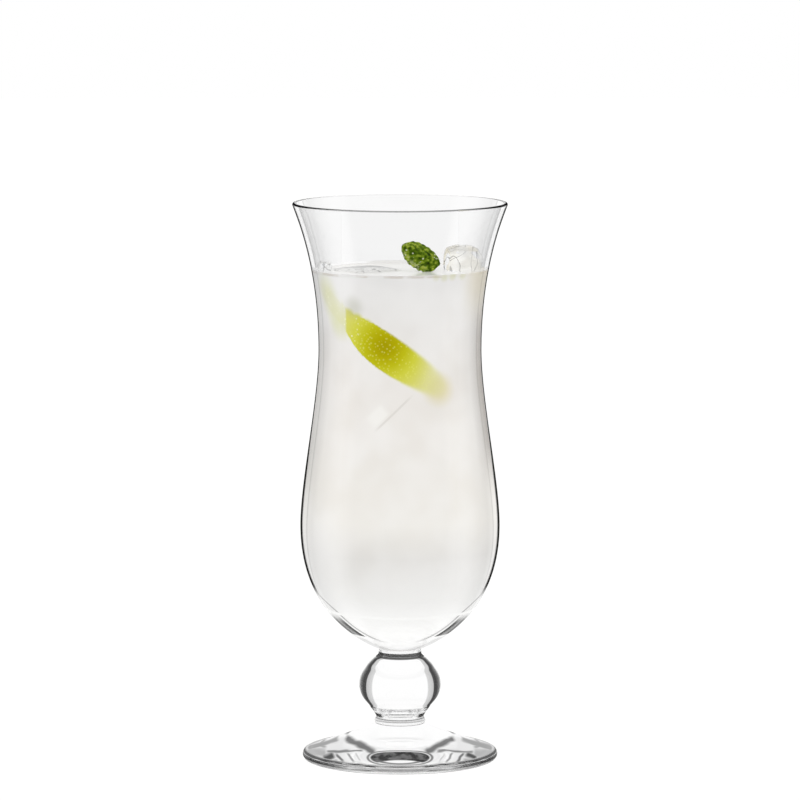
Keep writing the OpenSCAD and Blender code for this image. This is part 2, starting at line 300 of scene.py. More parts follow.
# %% Edges of the bowl
rim_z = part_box("bowl")[1].z
drink_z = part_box("drink")[1].z
# How much light the wall lets pass, from where it faces the eye to its silhouette
WALL_TINT = [(0.0, 0.95), (0.125, 0.95), (0.17, 0.99), (0.25, 1.0), (0.32, 0.96), (0.41, 0.86),
             (0.54, 0.74), (0.62, 0.80), (0.64, 0.72), (0.655, 0.50), (0.675, 0.97), (0.72, 1.0), (1.0, 1.0)]
SILHOUETTE = [(0.0, 0.0), (0.76, 0.0), (0.82, 0.98), (1.0, 1.0)]
LIP_FRONT = [(0.0, 0.35), (0.3, 0.5), (0.55, 0.95), (1.0, 1.0)]


def silhouette(tree, height, turn):
    """The black edge line, which is thinner at the waist and above it."""
    thinner = step_mm(tree, height, 105, 130, 0.0, 0.05)
    return ramp(tree, math_node(tree, "SUBTRACT", turn, thinner), SILHOUETTE)


def lip_line(tree, height, round_turn):
    """The front of the lip, grey in the middle and black at its ends."""
    on_lip = step_between(tree, height, rim_z - 0.62 * MM, rim_z - 0.45 * MM)
    return times(tree, ramp(tree, round_turn, LIP_FRONT), on_lip)


print("rim at", round(rim_z / MM, 1), "mm, drink up to", round(drink_z / MM, 1), "mm")

# %% [markdown]
# At its bottom the bowl is some millimetres thick. There the edge of the drink shows as a thin line
# well inside the silhouette, with a dark patch between the two, where the thick glass bends the
# eye to the side. Further down a softer patch leads on to the stem.

# %% Marks of the thick base
# Profiles over the turn past the drink's edge, which lies at 0.5
INNER_LINE = [(0.0, 0.0), (0.475, 0.0), (0.495, 0.42), (0.51, 0.42), (0.53, 0.0)]
DARK_PATCH = [(0.0, 0.0), (0.545, 0.0), (0.56, 0.96), (0.60, 0.82), (0.66, 0.55), (0.74, 0.86),
              (0.82, 0.4), (1.0, 0.3)]
# Profiles over the turn itself
SOFT_PATCH = [(0.0, 0.0), (0.70, 0.0), (0.78, 0.22), (0.9, 0.12), (1.0, 0.3)]
BASE_EDGE = [(0.0, 0.0), (0.90, 0.0), (0.96, 0.35), (1.0, 0.35)]


def base_marks(tree, height, turn):
    """The line of the drink's edge, and the dark patches between it and the silhouette."""
    above = math_node(tree, "MAXIMUM", math_node(tree, "SUBTRACT", height, 55 * MM), 0.0)
    rise = math_node(tree, "DIVIDE", above, 11 * MM)
    drink_edge = math_node(tree, "MULTIPLY_ADD", times(tree, rise, rise), 0.38, 0.62)
    past_edge = math_node(tree, "ADD", math_node(tree, "SUBTRACT", turn, drink_edge), 0.5)
    return largest(
        tree,
        times(tree, ramp(tree, past_edge, INNER_LINE), step_mm(tree, height, 44.8, 47.5)),
        times(tree, ramp(tree, past_edge, DARK_PATCH), band_mm(tree, height, 47.2, 47.8, 52.0, 56.0)),
        times(tree, ramp(tree, turn, SOFT_PATCH), step_mm(tree, height, 47.0, 46.0)),
        times(tree, ramp(tree, turn, BASE_EDGE), step_mm(tree, height, 66, 60)))


print("thick base: four marks, up to 66 mm above the table")

# %% [markdown]
# Above the drink the inner side of the wall carries a painted grey band of shade near each edge.
# Beside the drink painted shade darkens the wall towards its edge instead, more on the right than on
# the left, and fades out low down on the belly. The right side's painted shade is also warmer, as the
# drink's colour gathers in the glass there.

# %% Bands of painted shade on the wall
DRY_BAND = [(0.0, 0.0), (0.38, 0.0), (0.50, 0.06), (0.56, 0.14), (0.62, 0.32), (0.65, 0.30), (0.68, 0.0)]
WET_BAND = [(0.0, 0.0), (0.46, 0.0), (0.54, 0.06), (0.61, 0.15), (0.68, 0.29), (0.80, 0.36), (1.0, 0.36)]


def wall_bands(tree, height, round_turn, right, dry):
    """Painted grey bands of shade near both edges, by how far right a place is and how far above the drink.
    """
    left_share = step_mm(tree, height, 85, 118, 0.35, 1.0)
    right_share = times(tree, step_mm(tree, height, 96, 122, 0.0, 1.5),
                        step_mm(tree, height, 158, 174, 1.0, 0.55))
    share = math_node(tree, "ADD", times(tree, right, right_share),
                      times(tree, rest_of(tree, right), left_share))
    wet_band = times(tree, ramp(tree, round_turn, WET_BAND), share, step_mm(tree, height, 60, 72))
    return largest(tree, times(tree, ramp(tree, round_turn, DRY_BAND), dry),
                   times(tree, wet_band, rest_of(tree, dry)))


print("bands of the wall:", len(DRY_BAND), "steps above the drink,", len(WET_BAND), "beside it")

# %% [markdown]
# The bowl's material puts these marks together. Only the wall nearest to the eye carries them, which
# shows in its true normal: Cycles turns it towards the eye, so it points outward on the near wall
# alone. Two skins that mirror a white room would also lay a white veil over the leaf and the peel.
# Near the middle of the near wall both skins are therefore plainly transparent for the camera.

# %% Glass of the bowl
# How far aside of the axis the transparent middle reaches, in mm
MIDDLE_REACH = 21.5


def near_wall(tree):
    """1 on both skins of the wall that is nearest to the eye."""
    facing_out = vector_node(tree, "DOT_PRODUCT", outward(tree), true_normal(tree))
    return math_node(tree, "GREATER_THAN", facing_out, -0.05)


def blown_glass():
    """Blown soda-lime glass: clear, with painted soft grey bands of shade down its sides and painted black
    edges.
    """
    material, tree, output = new_material("blown_soda_lime_glass")
    place, height = object_place(tree)
    round_turn, turn = turn_round_axis(tree), turn_away(tree)
    right = step_mm(tree, part_of(tree, place, "X"), -2, 10)
    dry = step_between(tree, height, drink_z + 1 * MM, drink_z + 3 * MM)
    above_base = step_mm(tree, height, 60, 66)
    line = silhouette(tree, height, turn)
    dark = largest(tree, times(tree, line, above_base), lip_line(tree, height, round_turn),
                   base_marks(tree, height, turn), wall_bands(tree, height, round_turn, right, dry))
    # Beside the drink the painted shade of the bands has the drink's own warm grey
    in_wall = times(tree, rest_of(tree, dry), above_base, step_between(tree, line, 0.5, 0.2))
    wall_shade_colour = blend(tree, right, colour("#2A2A28"), colour("#5C4A38"))
    near = near_wall(tree)
    aside = seen_place(tree, place)[1]
    see_through = times(tree, step_mm(tree, aside, MIDDLE_REACH + 0.1, MIDDLE_REACH),
                        step_mm(tree, height, 62, 62.2), near)
    glass_shader(tree, output, ramp(tree, round_turn, WALL_TINT), times(tree, dark, near),
                 dark_colour=blend(tree, in_wall, EDGE_BLACK, wall_shade_colour), see_through=see_through)
    return material


thin_glass = blown_glass()
print(thin_glass.name, len(thin_glass.node_tree.nodes), "nodes")

# %% [markdown]
# The knop is a solid ball of glass. A ball works as a strong lens, so it shows the dark sides of the
# room as two crescents, and the dark above it as a shoulder under the collar. The crescents' inner
# edges stand almost upright, so they follow the turn round the axis, eased at both ends.

# %% Glass of the stem
knop_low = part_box("stem_knop")[0].z + 3 * MM
knop_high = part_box("stem_knop")[1].z
CRESCENTS = [(0.0, 0.0), (0.27, 0.0), (0.30, 0.32), (0.40, 0.40), (0.44, 0.46), (0.46, 0.92), (0.56, 0.94),
             (0.66, 0.86), (0.76, 0.72), (0.86, 0.30), (0.95, 0.0), (1.0, 0.0)]
NECK_EDGE = [(0.0, 0.0), (0.84, 0.0), (0.93, 0.6), (1.0, 0.6)]
# Thin rings of painted shade on the neck: millimetres above the ball's lower end, and the share of dark
NECK_RINGS = [(0.4, 0.35), (-3.1, 0.5), (-5.1, 0.6)]


def ball_marks(tree, from_low, from_high):
    """The two crescents and the shoulder of the ball."""
    low_end = step_mm(tree, from_low, 2.6, 0.0, 0.0, 0.22)
    high_end = step_mm(tree, from_high, -5.2, -3.2, 0.0, 0.09)
    top = step_mm(tree, from_high, -1.5, -0.4, 0.0, 0.16)
    eased_turn = math_node(tree, "ADD", math_node(tree, "SUBTRACT", turn_round_axis(tree), low_end),
                           math_node(tree, "SUBTRACT", top, high_end))
    shoulder = step_mm(tree, from_high, -0.9, -0.6, 0.0, 0.88)
    return largest(tree, ramp(tree, eased_turn, CRESCENTS), shoulder)


def neck_marks(tree, from_low):
    """Painted shade: the edge of the collar, neck and ring, two dark wedges beside the neck, and the thin
    rings.
    """
    wedges = times(tree, step_between(tree, turn_round_axis(tree), 0.22, 0.42, 0.0, 0.93),
                   band_mm(tree, from_low, -2.7, -2.3, -1.3, -0.7))
    marks = largest(tree, ramp(tree, turn_away(tree), NECK_EDGE), wedges)
    for z, share in NECK_RINGS:
        near_ring = away_from(tree, from_low, z * MM)
        marks = largest(tree, marks, step_mm(tree, near_ring, 0.22, 0.08, 0.0, share))
    return marks


def stem_glass():
    """Solid soda-lime glass."""
    material, tree, output = new_material("solid_soda_lime_glass")
    height = object_place(tree)[1]
    from_low = math_node(tree, "SUBTRACT", height, knop_low)
    from_high = math_node(tree, "SUBTRACT", height, knop_high)
    in_ball = times(tree, step_mm(tree, from_low, 0, 1), step_mm(tree, from_high, 1.4, 1.1))
    dark = largest(tree, times(tree, ball_marks(tree, from_low, from_high), in_ball),
                   times(tree, neck_marks(tree, from_low), rest_of(tree, in_ball)))
    glass_shader(tree, output, WHITE, dark)
    return material


thick_glass = stem_glass()
print(thick_glass.name, len(thick_glass.node_tree.nodes), "nodes")

# %% [markdown]
# The foot is pressed, and hollow below, with a round recess in its middle. From above the table the
# recess shows through the slope as a dark oval with a white floor, and the slope folds the dark of
# the room into wavy grey strokes towards both ends. Each stroke is drawn in the plane of the
# picture: how far aside of the axis the eye sees a point, and how far down.

# %% Strokes and ovals of the foot
# How far down the eye sees a point move for each unit it lies nearer
EYE_SLOPE = 0.1855
# Each fold of painted shade: its start and its end as (aside, down), its half width, and its share of dark.
# Lengths are in mm.
FOLDS = [((20.0, -7.4), (10.4, -2.3), 1.5, 0.78), ((23.0, -7.3), (34.2, -3.4), 1.3, 0.55),
         ((27.2, -2.4), (14.3, -2.5), 0.6, 0.68), ((24.7, -1.3), (28.6, 0.2), 1.4, 0.88),
         ((23.9, -1.6), (21.6, 1.6), 0.6, 0.75), ((19.8, -1.5), (17.9, 1.5), 0.5, 0.6),
         ((34.6, -1.8), (27.5, -1.6), 2.0, 0.42), ((29.8, 1.2), (23.8, 1.4), 1.0, 0.5),
         ((30.5, -5.2), (27.5, -3.6), 0.9, 0.5), ((16.9, -1.2), (15.6, 1.2), 0.4, 0.35)]


def stroke(tree, aside, down, start, end, half_width, share):
    """A soft straight mark from start to end, in millimetres."""
    length = math.dist(start, end)
    tx, ty = (end[0] - start[0]) / length, (end[1] - start[1]) / length
    dx = math_node(tree, "SUBTRACT", aside, start[0] * MM)
    dy = math_node(tree, "SUBTRACT", down, start[1] * MM)
    along = math_node(tree, "ADD", times(tree, dx, tx), times(tree, dy, ty))
    off = away_from(tree, times(tree, dy, tx), times(tree, dx, ty))
    mark = step_mm(tree, off, half_width * 1.25, half_width * 0.25, 0.0, share)
    return times(tree, mark, band_mm(tree, along, -0.8, 0.8, length - 0.8, length + 0.8))


def oval(tree, aside, down, middle_down, half_wide, half_high, power=2.0):
    """0 in the middle of an oval, and 1 on its outline. Sizes are in millimetres."""
    x = math_node(tree, "POWER", math_node(tree, "DIVIDE", aside, half_wide * MM), power)
    y = math_node(tree, "DIVIDE", math_node(tree, "SUBTRACT", down, middle_down * MM), half_high * MM)
    return math_node(tree, "SQRT", math_node(tree, "ADD", x, times(tree, y, y)))


def fold_marks(tree, aside, down):
    """The grey folds of painted shade, a little wavy, and none near the top of the slope."""
    wobble = math_node(tree, "MULTIPLY_ADD", noise(tree, 7 * MM, 1.0), 2.4 * MM, -1.2 * MM)
    folded = math_node(tree, "ADD", down, wobble)
    strokes = [stroke(tree, aside, folded, *fold) for fold in FOLDS]
    return times(tree, largest(tree, *strokes), step_mm(tree, down, -9.2, -8.2))


def recess_marks(tree, aside, down):
    """The recess as seen through the slope, in painted shade: its dark far wall over a white floor, a thin
    outline, and a line below.
    """
    around = oval(tree, aside, down, 0.2, 13.1, 2.75, 4.0)
    floor_oval = oval(tree, aside, down, 3.0, 11.5, 2.3)
    lower = oval(tree, aside, down, 0.45, 10.4, 2.4)
    recess_wall_shade = step_between(tree, noise(tree, 3 * MM), 0.4, 0.65, 0.95, 0.82)
    return largest(
        tree,
        times(tree, step_between(tree, around, 0.90, 0.80),
              step_between(tree, floor_oval, 0.95, 1.06), recess_wall_shade),
        times(tree, band(tree, around, 0.88, 0.95, 1.0, 1.08), 0.72),
        times(tree, band(tree, lower, 0.85, 0.95, 1.02, 1.12), step_mm(tree, down, 0.9, 1.3), 0.75))


print(len(FOLDS), "folds in the foot")

# %% [markdown]
# These marks belong to a view along the slope, so they fade out when it is seen from above. The
# rounded edge below carries two grey lines of painted shade of its own, which join towards the ends.
# A white veil over the slope is a painted reflection of the bright studio that it mirrors.

# %% Glass of the foot
foot_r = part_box("foot")[1].x
# Share of dark in the edge lines, over how far aside they are seen
EDGE_SHARES = [(0.0, 0.45), (0.42, 0.5), (0.55, 0.25), (0.68, 0.70), (0.9, 0.80), (1.0, 0.7)]
# Height of each edge line, its half width and its share, in mm
EDGE_LINES = [(3.0, 0.45, 0.9), (1.8, 0.8, 1.0)]


def edge_line_marks(tree, height, radius, aside):
    share_aside = ramp(tree, math_node(tree, "DIVIDE", aside, foot_r), EDGE_SHARES)
    lines = [step_mm(tree, away_from(tree, height, z * MM), half, half / 2, 0.0, share)
             for z, half, share in EDGE_LINES]
    return times(tree, largest(tree, *lines), step_mm(tree, radius, 34.0, 34.5), share_aside)


def pressed_glass():
    """Pressed soda-lime glass: clear over the middle, with grey folds of painted shade towards its two ends.
    """
    material, tree, output = new_material("pressed_soda_lime_glass")
    place, height = object_place(tree)
    radius, aside, ahead = seen_place(tree, place)
    down = math_node(tree, "SUBTRACT", times(tree, ahead, EYE_SLOPE), height)
    along_slope = times(tree, step_between(tree, turn_away(tree), 0.22, 0.38),
                        step_mm(tree, radius, 34.9, 34.3))
    marks = largest(tree, fold_marks(tree, aside, down), recess_marks(tree, aside, down))
    dark = largest(tree, times(tree, marks, along_slope), edge_line_marks(tree, height, radius, aside))
    glass_shader(tree, output, WHITE, dark, veil=times(tree, along_slope, 0.76))
    return material


foot_material = pressed_glass()
print(foot_material.name, len(foot_material.node_tree.nodes), "nodes")

# %% [markdown]
# On the real glass the five stretches are one: bowl, collar, knop, ring and foot are fused while hot.
# Here they are separate solids that meet on flat faces. A face of glass inside glass would show
# as a mirror, so the faces where two stretches meet get a fully transparent material.

# %% Fused joints
fused_joint, joint_tree, joint_output = new_material("fused_glass_joint")
joint_tree.links.new(add(joint_tree, "ShaderNodeBsdfTransparent").outputs[0],
                     joint_output.inputs["Surface"])
print(fused_joint.name)

# %% [markdown]
# Every stretch of the glass is turned: an outline from the axis out and back, swept round it.
# A ready cylinder could be pushed into shape instead, but an outline keeps the wall's two skins a
# true distance apart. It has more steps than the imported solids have, so that nothing shows as a
# facet through the glass.

# %% Outline helpers
SPAN_STEPS = 40
EDGE_STEPS = 14


def curve_point(p, t):
    """A point of the curve that starts at p[0], ends at p[3] and is drawn towards the other two."""
    s = 1 - t
    return tuple(s ** 3 * a + 3 * s * s * t * b + 3 * s * t * t * c + t ** 3 * d
                 for a, b, c, d in zip(*p))


def span(p, steps=SPAN_STEPS):
    """The curve from p[0] to p[3], without its first point."""
    return [curve_point(p, i / steps) for i in range(1, steps + 1)]


def plus(p, x, z):
    return (p[0] + x, p[1] + z)


def raised(outline, z):
    return [(r, h + z) for r, h in outline]


print("a long curve has", SPAN_STEPS, "steps, and a small edge has", EDGE_STEPS)

# %% Lathe
TURN_STEPS = 192
WELD_DISTANCE = 1e-6


def deselect_all():
    bpy.ops.object.select_all(action="DESELECT")


def turned(name, outline, turn_steps=TURN_STEPS):
    """A closed solid swept from an outline of (radius, height) that starts and ends on the axis."""
    deselect_all()
    bpy.ops.mesh.primitive_plane_add(size=1, location=(0, 0, 0))
    piece = bpy.context.object
    piece.name = piece.data.name = name
    bpy.ops.object.mode_set(mode="EDIT")
    bpy.ops.mesh.merge(type="CENTER")
    bpy.ops.transform.translate(value=(outline[0][0], 0, outline[0][1]))
    for (r0, z0), (r1, z1) in zip(outline, outline[1:]):
        bpy.ops.mesh.extrude_region_move(TRANSFORM_OT_translate={"value": (r1 - r0, 0, z1 - z0)})
    bpy.ops.mesh.select_all(action="SELECT")
    bpy.ops.mesh.spin(steps=turn_steps, angle=2 * math.pi, center=(0, 0, 0), axis=(0, 0, 1))
    bpy.ops.mesh.select_all(action="SELECT")
    bpy.ops.mesh.remove_doubles(threshold=WELD_DISTANCE)
    bpy.ops.mesh.normals_make_consistent(inside=False)
    bpy.ops.object.mode_set(mode="OBJECT")
    print(name, "has", len(outline), "points in its outline and", len(piece.data.polygons), "faces")
    return piece


# %% [markdown]
# The bowl sets the look of the whole glass: a round belly, a narrow waist and a flared rim. Its
# outline is three smooth curves, which meet at the belly and at the waist, where the side is
# upright, so they join without a kink. The inside repeats the outside, one wall further in, and
# ends on a thicker bottom. The rim is a half round, as a flame leaves it.

# %% Sizes of the bowl
rim_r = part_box("bowl")[1].x
bowl_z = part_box("bowl")[0].z
bowl_h = rim_z - bowl_z
# The frame's boxes don't show these sizes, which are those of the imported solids
waist_r, waist_rise = 29.9 * MM, 110.9 * MM
belly_r, belly_rise = 36.7 * MM, 45.8 * MM
wall, bottom_t = 1.5 * MM, 3.5 * MM
collar_r = 7.75 * MM


def bowl_side(inset, steps=SPAN_STEPS):
    """From the belly up to the rim, this far inside the outer skin."""
    belly, waist = (belly_r - inset, belly_rise), (waist_r - inset, waist_rise)
    rim = (rim_r - inset, bowl_h - wall / 2)
    lower, upper, flare = waist_rise - belly_rise, rim[1] - waist_rise, rim_r - waist_r
    return (span([belly, plus(belly, 0, lower * 0.25), plus(waist, 0, -lower * 0.28), waist], steps)
            + span([waist, plus(waist, 0, upper * 0.58),
                    plus(rim, -flare * 0.17, -upper * 0.09), rim], steps))


def bowl_outside():
    seat, belly = (collar_r, 0), (belly_r, belly_rise)
    return [seat] + span([seat, plus(seat, belly_r * 0.045, belly_rise * 0.02),
                          plus(belly, 0, -belly_rise * 0.78), belly]) + bowl_side(0)


def bowl_inside(into_wall=0, bottom_steps=SPAN_STEPS, side_steps=SPAN_STEPS):
    """From the middle of the bottom up to the rim, on the inner skin or a little way into the wall."""
    middle, belly = (0, bottom_t - into_wall), (belly_r - wall + into_wall, belly_rise)
    rise = belly_rise - bottom_t
    return ([middle] + span([middle, plus(middle, belly[0] * 0.62, 0),
                             plus(belly, 0, -rise * 0.72), belly], bottom_steps)
            + bowl_side(wall - into_wall, side_steps))


print("bowl", round(bowl_h / MM, 1), "mm high, rim", round(2 * rim_r / MM, 1), "mm across")

# %% Turn the bowl
lip_r = wall / 2
lip = [(rim_r - lip_r + lip_r * math.cos(math.pi * i / EDGE_STEPS),
        bowl_h - lip_r + lip_r * math.sin(math.pi * i / EDGE_STEPS)) for i in range(1, EDGE_STEPS)]
bowl = turned("bowl_glass", raised([(0, 0)] + bowl_outside() + lip + bowl_inside()[::-1], bowl_z))

# %% [markdown]
# The stem is short: a collar, a ball and a beaded ring, each pressed on while the glass is hot. The
# ball stands on a short neck under a soft edge. Each piece ends on nearly the same circle as the
# next one starts, so that they read as one glass.

# %% Turn the stem
collar_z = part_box("stem_collar")[0].z
knop_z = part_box("stem_knop")[0].z
ring_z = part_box("stem_ring")[0].z
knop_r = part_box("stem_knop")[1].x
ring_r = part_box("stem_ring")[1].x
knop_top_r, knop_foot_r = 8.1 * MM, 8.7 * MM
knop_h = collar_z - knop_z
ring_h = knop_z - ring_z
collar_h = bowl_z - collar_z


def at_share(x, z):
    """A point of the ball as shares of its radius and height."""
    return (x * knop_r, z * knop_h)


collar = turned("stem_collar_glass", raised(
    [(0, 0), ((collar_r + knop_top_r) / 2, 0), (collar_r, collar_h), (0, collar_h)], collar_z))
knop_foot, knop_edge, knop_wide = (knop_foot_r, 0), at_share(0.724, 0.16), at_share(1, 0.532)
knop = turned("stem_knop_glass", raised(
    [(0, 0), knop_foot]
    + span([knop_foot, plus(knop_foot, 0, knop_edge[1] / 4), at_share(0.70, 0.137), knop_edge], EDGE_STEPS)
    + span([knop_edge, at_share(0.777, 0.245), plus(knop_wide, 0, -0.228 * knop_h), knop_wide])
    + span([knop_wide, plus(knop_wide, 0, 0.18 * knop_h), at_share(0.872, 0.803), (knop_top_r, knop_h)])
    + [(0, knop_h)], knop_z))
ring_seat_r = (ring_r + knop_foot_r) / 2
bulge = ring_r + (ring_r - ring_seat_r) / 2
ring = turned("stem_ring_glass", raised(
    [(0, 0), (ring_seat_r, 0)]
    + span([(ring_seat_r, 0), (bulge, ring_h / 4),
            (bulge, ring_h * 3 / 4), (knop_foot_r, ring_h)], EDGE_STEPS)
    + [(0, ring_h)], ring_z))

# %% [markdown]
# The foot is pressed between two halves of a mould. It stands on a narrow flat ring, which leaves a
# shallow hollow and a deeper round recess below, so that it can't rock. Its edge is rounded in an
# arc that runs on into the slope, and the slope rises to the ring of the stem.

# %% Turn the foot
foot_h = ring_z
foot_edge_h, foot_edge_w, rest_ring_w, rest_ledge = 3.5 * MM, 1.6 * MM, 3 * MM, 0.5 * MM
hollow_rise, recess_r, recess_depth = 1.3 * MM, 11 * MM, 2.4 * MM
# The arc of the edge starts straight down and ends this many degrees above level
EDGE_TURN = 75
edge_mid = (foot_r - foot_edge_w, foot_edge_h / 2)
edge_angles = [math.radians(-90 + (90 + EDGE_TURN) * i / EDGE_STEPS) for i in range(EDGE_STEPS + 1)]
edge = [plus(edge_mid, foot_edge_w * math.cos(a), foot_edge_h / 2 * math.sin(a)) for a in edge_angles]
reach, climb = edge[-1][0] - ring_seat_r, foot_h - edge[-1][1]
rest_in_r = edge_mid[0] - rest_ring_w
recess_z = hollow_rise + recess_depth
underside = [(0, recess_z), (recess_r, recess_z), (recess_r, hollow_rise),
             (rest_in_r, rest_ledge), (rest_in_r, 0)]
slope = span([edge[-1], plus(edge[-1], -reach * 0.264, climb * 0.2),
              plus((ring_seat_r, foot_h), reach * 0.295, -climb * 0.41), (ring_seat_r, foot_h)])
foot = turned("foot_glass", underside + edge + slope + [(0, foot_h)])

# %% [markdown]
# Each stretch now gets its glass, and its place in the frame. Flat faces at the heights where two
# stretches meet get the transparent joint material. Smooth shading rounds every part of an
# outline but its sharp corners, such as the edge of the recess.

# %% Glass finish
SHARP_ANGLE = math.radians(40)


def shade_smooth(piece):
    """Smooth shading, with sharp corners left sharp."""
    deselect_all()
    piece.select_set(True)
    bpy.context.view_layer.objects.active = piece
    bpy.ops.object.shade_smooth_by_angle(angle=SHARP_ANGLE)


def finish_glass(piece, node, glass, joint_heights):
    """Glass all over, but for flat joint faces at the given heights, which the fused glass hasn't."""
    piece.data.materials.append(glass)
    piece.data.materials.append(fused_joint)
    for face in piece.data.polygons:
        flat = abs(face.normal.z) > 0.999
        face.material_index = int(flat and any(abs(face.center.z - z) < 1e-5 for z in joint_heights))
    shade_smooth(piece)
    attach(piece, "filled_glass")
    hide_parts(node)
    print(piece.name, "stands in for", node)


finish_glass(bowl, "bowl", thin_glass, [bowl_z])
finish_glass(collar, "stem_collar", thick_glass, [bowl_z, collar_z])
finish_glass(knop, "stem_knop", thick_glass, [collar_z, knop_z])
finish_glass(ring, "stem_ring", thick_glass, [knop_z, ring_z])
finish_glass(foot, "foot", foot_material, [foot_h])

# %% [markdown]
# The drink is cloudy: what lies in it fades into its own pale colour with depth, and blurs. A
# cloudy volume costs many samples, so the drink is a plain solid here. It reaches a little way into
# the wall, so that no air shows between the two. Against the glass its surface climbs in a
# meniscus, and towards the axis it is divided into rings, which keep the shading even.

# %% Drink mesh
WETS_INTO_WALL = 0.1 * MM
DRINK_TURN_STEPS = 300
TOP_RINGS = 24
MENISCUS_RISE = 0.9 * MM
MENISCUS_REACH = 2.2 * MM
MENISCUS_STEPS = 10

inside = [p for p in bowl_inside(WETS_INTO_WALL, 50, 100) if p[1] < drink_z - bowl_z]
top_r = inside[-1][0]
meniscus = [(top_r + 0.2 * MM - MENISCUS_REACH * t, drink_z + MENISCUS_RISE * (1 - t) ** 2.6)
            for t in [i / MENISCUS_STEPS for i in range(MENISCUS_STEPS + 1)]]
flat_r = meniscus[-1][0]
surface_rings = [(flat_r * (1 - i / TOP_RINGS), drink_z) for i in range(1, TOP_RINGS + 1)]
drink = turned("drink_body", raised(inside, bowl_z) + meniscus + surface_rings, DRINK_TURN_STEPS)

# %% [markdown]
# The skin of the drink is coloured by what an eye outside would meet behind it. Rays are cast from
# the skin, bent as the drink bends them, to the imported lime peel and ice. This fills a map
# over the turn round the glass and the height, with the depth of the first hit at each place.

# %% What lies behind the skin
DRINK_IOR = 1.33
MAP_STEP = 0.4 * MM
MAP_HALF_TURN = math.radians(112)
# Rays run a little downward, as the eye looks, and turn by this much behind the sides of the glass
RAY_FALL = -0.07
MOST_BEND = 0.85


def tree_of(nodes):
    """A ray-cast tree over the meshes of some nodes."""
    points, faces = [], []
    for name in nodes:
        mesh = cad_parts[name].data
        start = len(points)
        points += [v.co.copy() for v in mesh.vertices]
        faces += [[start + i for i in f.vertices] for f in mesh.polygons]
    return BVHTree.FromPolygons(points, faces)


def skin_radius(z):
    """Radius of the drink's skin at a height."""
    for (r0, z0), (r1, z1) in zip(inside, inside[1:]):
        if z0 + bowl_z <= z <= z1 + bowl_z:
            return r0 + (r1 - r0) * (z - z0 - bowl_z) / max(z1 - z0, 1e-9)
    return top_r


def bent_inward(turn):
    """The way a ray takes in the drink, from where it enters at a turn round the axis."""
    if abs(turn) < math.pi / 2:
        return turn - math.asin(math.sin(turn) / DRINK_IOR)
    return turn - math.copysign(MOST_BEND, turn)


def depth_map(nodes, z_low, z_high):
    """Depth of the first hit behind the skin, and its normal, over turn and height. No hit is inf."""
    found = tree_of(nodes)
    turns = np.arange(-MAP_HALF_TURN, MAP_HALF_TURN, MAP_STEP / waist_r)
    heights = np.arange(z_low, z_high, MAP_STEP)
    depth = np.full((len(heights), len(turns)), np.inf)
    normal = np.zeros((len(heights), len(turns), 3))
    for row, z in enumerate(heights):
        r = skin_radius(z)
        for column, turn in enumerate(turns):
            bent = bent_inward(turn)
            way = Vector((-math.sin(bent), math.cos(bent), RAY_FALL))
            start = Vector((r * math.sin(turn), -r * math.cos(turn), z))
            hit, face_normal, _, distance = found.ray_cast(start, way)
            if hit is not None:
                depth[row, column] = distance
                normal[row, column] = face_normal
    print(nodes[0], "and", len(nodes) - 1, "others are met in", int(np.isfinite(depth).sum()), "places")
    return turns, heights, depth, normal


# %% [markdown]
# The further a ray travels, the paler and softer its mark. The map is blurred by six different
# amounts, and each place takes its value from the two that suit its depth. This is much faster
# than a blur of its own for each place, and looks the same.

# %% Fade and blur with depth
CLOUD_FREE = 0.8 * MM
CLOUD_DEPTH = 5.0 * MM
ICE_DEPTH = 14 * MM
BLUR_SHARE = 0.22
BLUR_LEVELS = [0, 1, 2, 3, 4, 5]
DEPTH_BLUR = 4
LEAST_BLUR = 0.3


def blurred(grid, sigma):
    """Gaussian blur by sigma cells, first along the rows and then along the columns."""
    if sigma < LEAST_BLUR:
        return grid
    reach = int(3 * sigma) + 1
    kernel = np.exp(-0.5 * (np.arange(-reach, reach + 1) / sigma) ** 2)
    kernel /= kernel.sum()

    def blurred_line(line):
        return np.convolve(np.pad(line, reach, mode="edge"), kernel, "valid")

    for axis in (0, 1):
        grid = np.apply_along_axis(blurred_line, axis, grid)
    return grid


def seen_through_cloud(depth, fade_depth, value=1.0):
    """Value behind the cloud, faded and blurred with depth."""
    hit = np.isfinite(depth)
    hit_depth = np.where(hit, depth, 0)
    clear = np.where(hit, np.exp(-np.maximum(hit_depth - CLOUD_FREE, 0) / fade_depth), 0) * value
    near = blurred(hit.astype(float), DEPTH_BLUR) + 1e-6
    soft_depth = blurred(hit_depth, DEPTH_BLUR) / near
    stack = np.array([blurred(clear, sigma) for sigma in BLUR_LEVELS])
    wanted = np.clip(BLUR_SHARE * (soft_depth - CLOUD_FREE) / MAP_STEP, 0, BLUR_LEVELS[-1])
    lower = np.minimum(wanted.astype(int), BLUR_LEVELS[-1] - 1)
    part = wanted - lower
    sharper = np.take_along_axis(stack, lower[None], 0)[0]
    softer = np.take_along_axis(stack, lower[None] + 1, 0)[0]
    return sharper * (1 - part) + softer * part


print("cloud: clear for", CLOUD_FREE / MM, "mm, then the peel fades over", CLOUD_DEPTH / MM, "mm")

# %% [markdown]
# A picture texture would need a seam and pixels, so the maps are kept as attributes instead: each
# point of the skin stores its own value, and the material reads it by name. Ice is seen as light
# and dark faces, so it gives two maps. One is for faces that look up and left, to the light, and
# one for those that look away from it.

# %% Paint the maps on the skin
# Points of the bottom, nearer to the axis than this share of the waist's radius, stay unpainted
SKIN_FROM = 0.81


